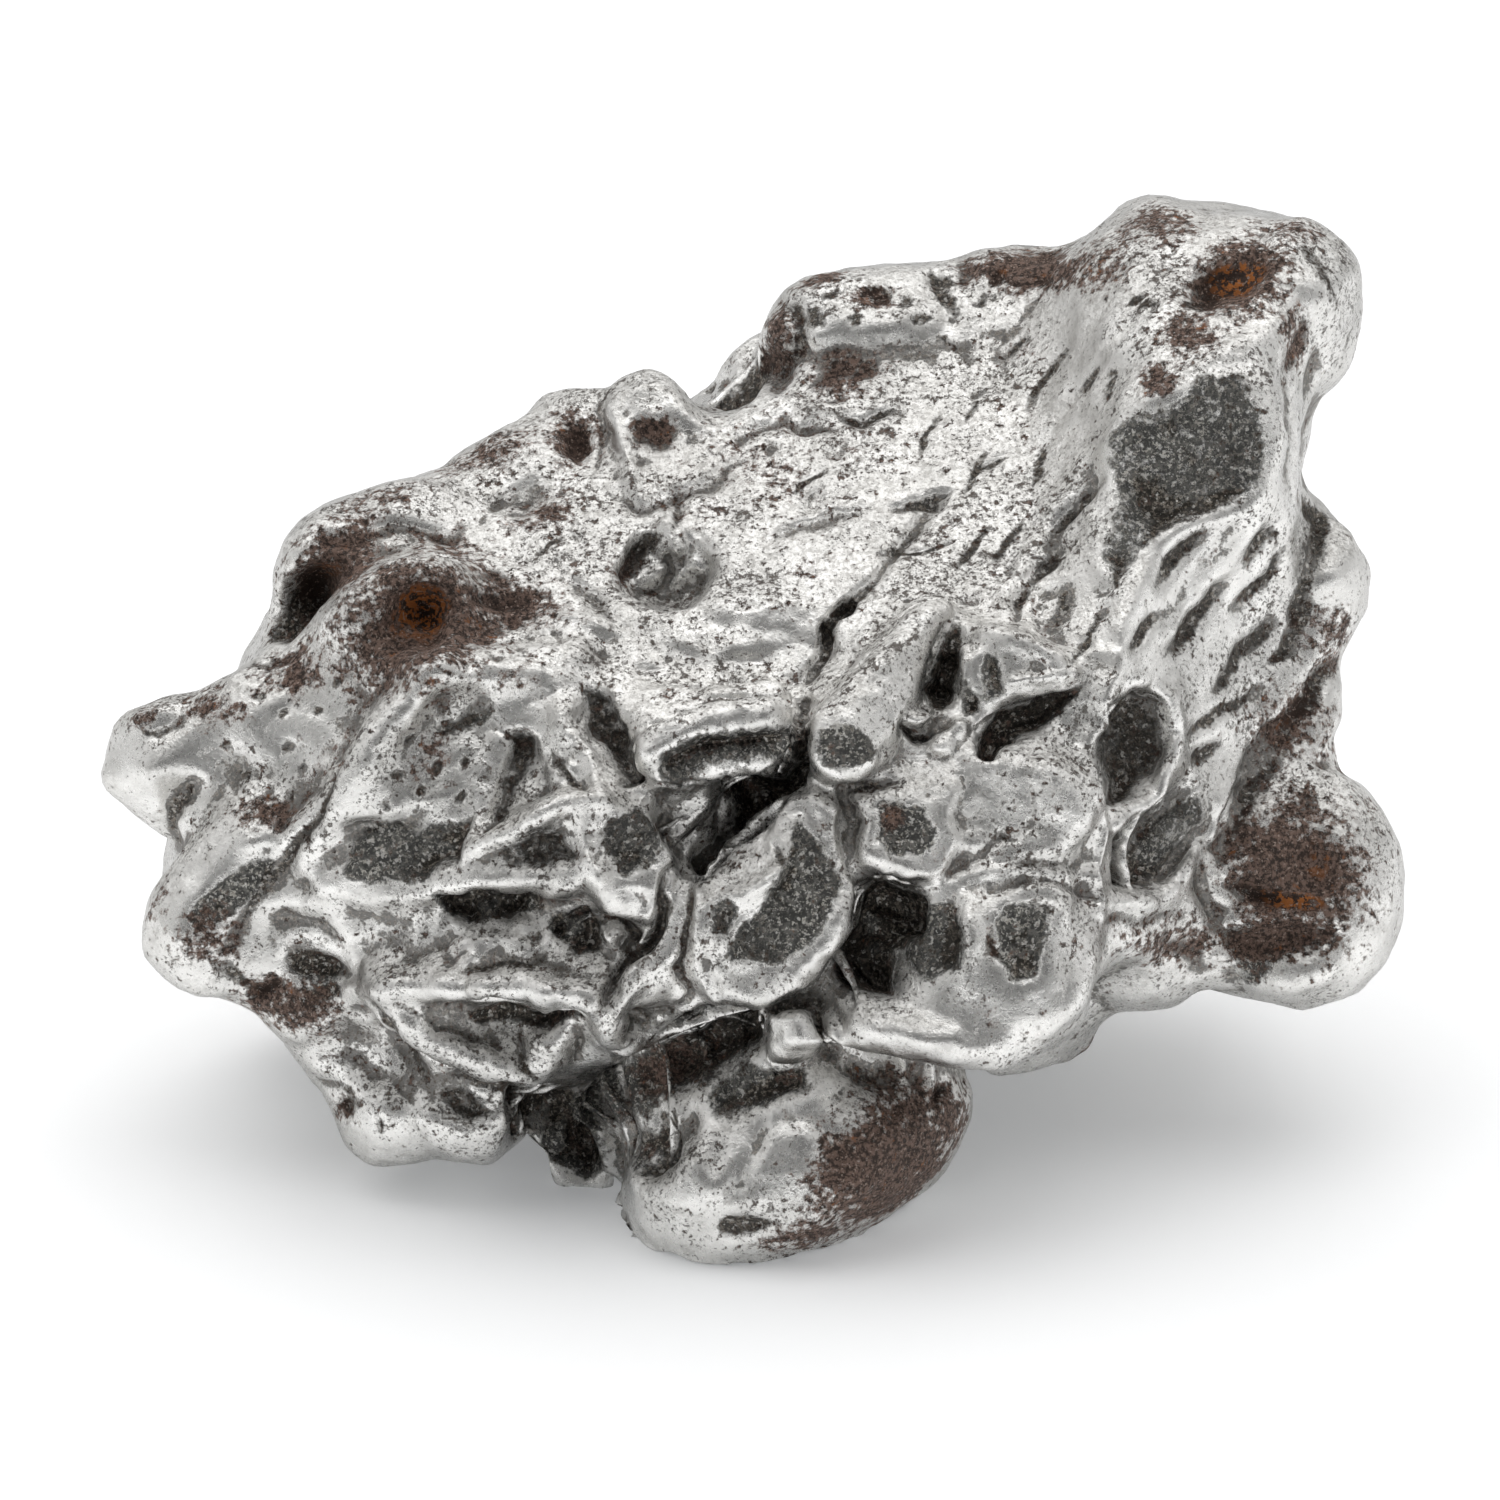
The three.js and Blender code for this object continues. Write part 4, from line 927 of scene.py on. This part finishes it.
def maths(kind, a, b, clamp=False):
    """One sum of two numbers or sockets."""
    node = nodes.new("ShaderNodeMath")
    node.operation = kind
    node.use_clamp = clamp
    for socket, value in zip(node.inputs, (a, b)):
        if isinstance(value, (int, float)):
            socket.default_value = value
        else:
            links.new(value, socket)
    return node.outputs[0]


def plus(a, b, clamp=False):
    return maths("ADD", a, b, clamp)


def times(a, b):
    return maths("MULTIPLY", a, b)


def jagged(value, pattern, amount):
    """A mask whose edge wanders in and out with a pattern."""
    return plus(value, times(maths("SUBTRACT", pattern, 0.5), amount))


def between(value, low, high, to_low=0.0, to_high=1.0):
    """A smooth step from to_low, at low, to to_high, at high."""
    node = nodes.new("ShaderNodeMapRange")
    node.interpolation_type = "SMOOTHSTEP"
    links.new(value, node.inputs["Value"])
    for socket, number in zip(list(node.inputs)[1:5], (low, high, to_low, to_high)):
        socket.default_value = number
    return node.outputs[0]


def mixed(amount, a, b):
    """Colour a where the amount is 0, colour b where it is 1."""
    node = nodes.new("ShaderNodeMix")
    node.data_type = "RGBA"
    links.new(amount, node.inputs[0])
    for socket, value in ((node.inputs[6], a), (node.inputs[7], b)):
        if isinstance(value, tuple):
            socket.default_value = (*value, 1)
        else:
            links.new(value, socket)
    return node.outputs[2]


print("the metal is called", metal.name)

# %% Masks broken up
proud_mask = mask("proud")
speck = noise(0.45, 5, 0.72)
grit = noise(0.2, 4, 0.7)
blotch = noise(2.6, 5, 0.65)
clusters = between(noise(4.5, 4, 0.6), 0.36, 0.62, -0.04, 0.05)
pits = between(plus(plus(speck, clusters), times(mask("upper"), 0.035)), 0.615, 0.655)
fine_pits = between(plus(plus(grit, clusters), times(mask("upper"), 0.02)), 0.605, 0.65)
# Sunk points get painted shade, a little less on the upper face.
sunk = between(jagged(plus(proud_mask, times(mask("upper"), 0.08)), speck, 1.3), 0.36, 0.2)
film_and_reflection_mask = between(jagged(jagged(mask("film_and_reflection"), blotch, 0.8), speck, 1.3), 0.32, 0.6)
crevice_shade_mask = between(jagged(mask("crevice_shade"), speck, 1.4), 0.3, 0.7)
rust_edge = jagged(jagged(mask("rust"), blotch, 1.2), proud_mask, -0.25)
rust_mask = between(jagged(rust_edge, speck, 2.5), 0.16, 0.6)
film_and_reflection_amount = times(film_and_reflection_mask, 0.96)
painted_shade_amount = maths("MAXIMUM", times(crevice_shade_mask, 0.92), times(sunk, 0.75))
dark_amount = maths("MAXIMUM", film_and_reflection_amount, painted_shade_amount)
pit_amount = maths("MAXIMUM", pits, times(fine_pits, 0.8))
print("the masks take", len(nodes), "nodes")

# %% The colour of bright metal, film with painted reflection, painted shade and pits
bright = mixed(between(blotch, 0.35, 0.65), (0.75, 0.74, 0.715), (0.92, 0.91, 0.885))
dull = between(noise(0.9, 4, 0.7), 0.52, 0.66, 0.0, 0.28)
bright = mixed(dull, bright, (0.36, 0.345, 0.32))
mottle = times(between(noise(0.3, 4, 0.75), 0.44, 0.6), times(mask("upper"), 0.55))
bright = mixed(mottle, bright, (0.30, 0.285, 0.265))
film_and_reflection_colour = mixed(between(speck, 0.45, 0.62), (0.035, 0.035, 0.033), (0.15, 0.147, 0.135))
# The film's light specks are painted glints.
film_and_reflection_colour = mixed(between(grit, 0.54, 0.62), film_and_reflection_colour, (0.52, 0.50, 0.45))
# Crevices and sunk places are painted near black as shade, with light specks of metal.
painted_shade_colour = mixed(between(grit, 0.48, 0.62), (0.032, 0.028, 0.023), (0.26, 0.225, 0.185))
colour = mixed(film_and_reflection_amount, bright, film_and_reflection_colour)
colour = mixed(painted_shade_amount, colour, painted_shade_colour)
# Painted highlights: bright specks in the dark parts stand in for glints.
painted_glints = times(between(noise(0.32, 4, 0.65), 0.57, 0.62), times(dark_amount, 0.6))
colour = mixed(painted_glints, colour, (0.78, 0.76, 0.72))
colour = mixed(times(pit_amount, 0.85), colour, (0.065, 0.052, 0.043))
print("bare metal, film and dirt take it to", len(nodes), "nodes")

# %% The colour of rust
rust_colour = mixed(
    between(noise(0.25, 4, 0.75), 0.42, 0.6), (0.035, 0.024, 0.019), (0.20, 0.135, 0.108)
)
rust_colour = mixed(between(noise(1.1, 5, 0.75), 0.61, 0.67), rust_colour, (0.24, 0.10, 0.045))
# Rust in the crevices gets painted shade too.
rust_colour = mixed(between(mask("crevice_shade"), 0.3, 1.0), rust_colour, (0.03, 0.018, 0.013))
fresh = times(between(mask("crevice_shade"), 0.15, 0.5), between(mask("rust"), 0.75, 1.0))
fresh = times(fresh, between(noise(0.45, 4, 0.7), 0.49, 0.54))
rust_colour = mixed(fresh, rust_colour, (0.42, 0.15, 0.04))
rust_colour = mixed(between(grit, 0.57, 0.65), rust_colour, (0.38, 0.29, 0.245))
colour = mixed(rust_mask, colour, rust_colour)
links.new(colour, surface.inputs["Base Color"])
print("rust takes it to", len(nodes), "nodes")

# %% Shine and relief
BUMP_STRENGTH = 0.75
BUMP_HEIGHT = 0.00012
MIRROR_TINT = 0.62
rough = jagged(between(dark_amount, 0, 1, 0.28, 0.42), speck, 0.25)
rough = plus(rough, times(mask("upper"), 0.18))
rough = plus(rough, times(rust_mask, 0.4), clamp=True)
links.new(rough, surface.inputs["Roughness"])
bare = maths("SUBTRACT", 1.0, times(rust_mask, 0.85), clamp=True)
links.new(bare, surface.inputs["Metallic"])
height = maths("SUBTRACT", times(speck, 0.6), times(pit_amount, 0.6))
height = plus(height, times(grit, 0.35))
height = times(height, plus(times(mask("upper"), 1.3), 0.8))
height = times(height, plus(times(dark_amount, 1.5), 1.0))
bump = nodes.new("ShaderNodeBump")
bump.inputs["Strength"].default_value = BUMP_STRENGTH
bump.inputs["Distance"].default_value = BUMP_HEIGHT
links.new(height, bump.inputs["Height"])
links.new(bump.outputs["Normal"], surface.inputs["Normal"])
surface.inputs["Specular Tint"].default_value = (MIRROR_TINT, MIRROR_TINT, MIRROR_TINT, 1)
stone.data.materials.clear()
stone.data.materials.append(metal)
print("the metal has", len(nodes), "nodes")

# %% [markdown]
# ## The studio
# A white floor, a large soft light overhead and a white room that dims towards the horizon. A
# polished facet mirrors what is in front of it, so the room also has a dark part round the
# viewer's side: facets that face it go dark, and folds that turn to the light or to the floor
# stay bright.

# %% The floor
bpy.ops.mesh.primitive_plane_add(size=6)
floor = bpy.context.object
floor.name = "floor"
paper = bpy.data.materials.new("paper")
paper.use_nodes = True
paper_face = paper.node_tree.nodes["Principled BSDF"]
paper_face.inputs["Base Color"].default_value = (0.93, 0.93, 0.93, 1)
paper_face.inputs["Roughness"].default_value = 0.95
paper_face.inputs["Emission Color"].default_value = (0.93, 0.965, 1, 1)
paper_face.inputs["Emission Strength"].default_value = 0.17
floor.data.materials.append(paper)
print("the floor is", tuple(floor.dimensions[:2]), "metres")

# %% The soft light
softbox = bpy.data.objects.new("softbox", bpy.data.lights.new("softbox", "AREA"))
softbox.data.size = 1.6
softbox.data.energy = 8.5
softbox.location = (0.0, 0.2, 1.2)
softbox.rotation_mode = "QUATERNION"
softbox.rotation_quaternion = (-Vector(softbox.location)).to_track_quat("-Z", "Y")
bpy.context.scene.collection.objects.link(softbox)
print("lit by one softbox of", softbox.data.energy, "watts")

# %% The room
room = bpy.data.worlds.new("room")
bpy.context.scene.world = room
room.use_nodes = True
room.node_tree.nodes.clear()
add = room.node_tree.nodes.new
join = room.node_tree.links.new
sky = add("ShaderNodeBackground")
end = add("ShaderNodeOutputWorld")
way = add("ShaderNodeTexCoord")
towards = add("ShaderNodeVectorMath")
towards.operation = "DOT_PRODUCT"
towards.inputs[1].default_value = OUT
shades = add("ShaderNodeValToRGB")
height_of = add("ShaderNodeSeparateXYZ")
overhead = add("ShaderNodeMapRange")
overhead.inputs["From Min"].default_value = 0.0
overhead.inputs["From Max"].default_value = 0.7
overhead.inputs["To Min"].default_value = 0.4
overhead.inputs["To Max"].default_value = 1.0
dimmed = add("ShaderNodeVectorMath")
dimmed.operation = "SCALE"
join(way.outputs["Generated"], towards.inputs[0])
join(way.outputs["Generated"], height_of.inputs[0])
join(height_of.outputs["Z"], overhead.inputs["Value"])
join(towards.outputs["Value"], shades.inputs[0])
join(shades.outputs[0], dimmed.inputs[0])
join(overhead.outputs[0], dimmed.inputs["Scale"])
join(dimmed.outputs[0], sky.inputs[0])
join(sky.outputs[0], end.inputs[0])
ramp = shades.color_ramp
ramp.elements[0].position = 0.0
ramp.elements[0].color = (1, 1, 1, 1)
ramp.elements[1].position = 0.97
ramp.elements[1].color = (0.17, 0.17, 0.17, 1)
for at, shade in ((0.45, 0.92), (0.7, 0.5), (0.85, 0.29)):
    ramp.elements.new(at).color = (shade, shade, shade, 1)
sky.inputs[1].default_value = 1.0
bpy.context.scene.view_settings.view_transform = "Standard"
print("the room has", len(ramp.elements), "shades of white and grey")

# %% [markdown]
# ## The camera
# The camera stands at the eye of the drawing board. Its lens takes in just the board.

# %% The camera
SENSOR = 36
camera = bpy.data.objects.new("camera", bpy.data.cameras.new("camera"))
bpy.context.scene.collection.objects.link(camera)
camera.data.sensor_width = SENSOR
camera.data.lens = SENSOR * EYE_DISTANCE / BOARD_SIDE
camera.data.clip_start = 0.01
camera.data.clip_end = 20
camera.location = Vector(EYE * TO_METRES)
camera.rotation_mode = "QUATERNION"
camera.rotation_quaternion = Vector(-OUT).to_track_quat("-Z", "Y")
bpy.context.scene.camera = camera
print("the lens is", camera.data.lens, "mm")
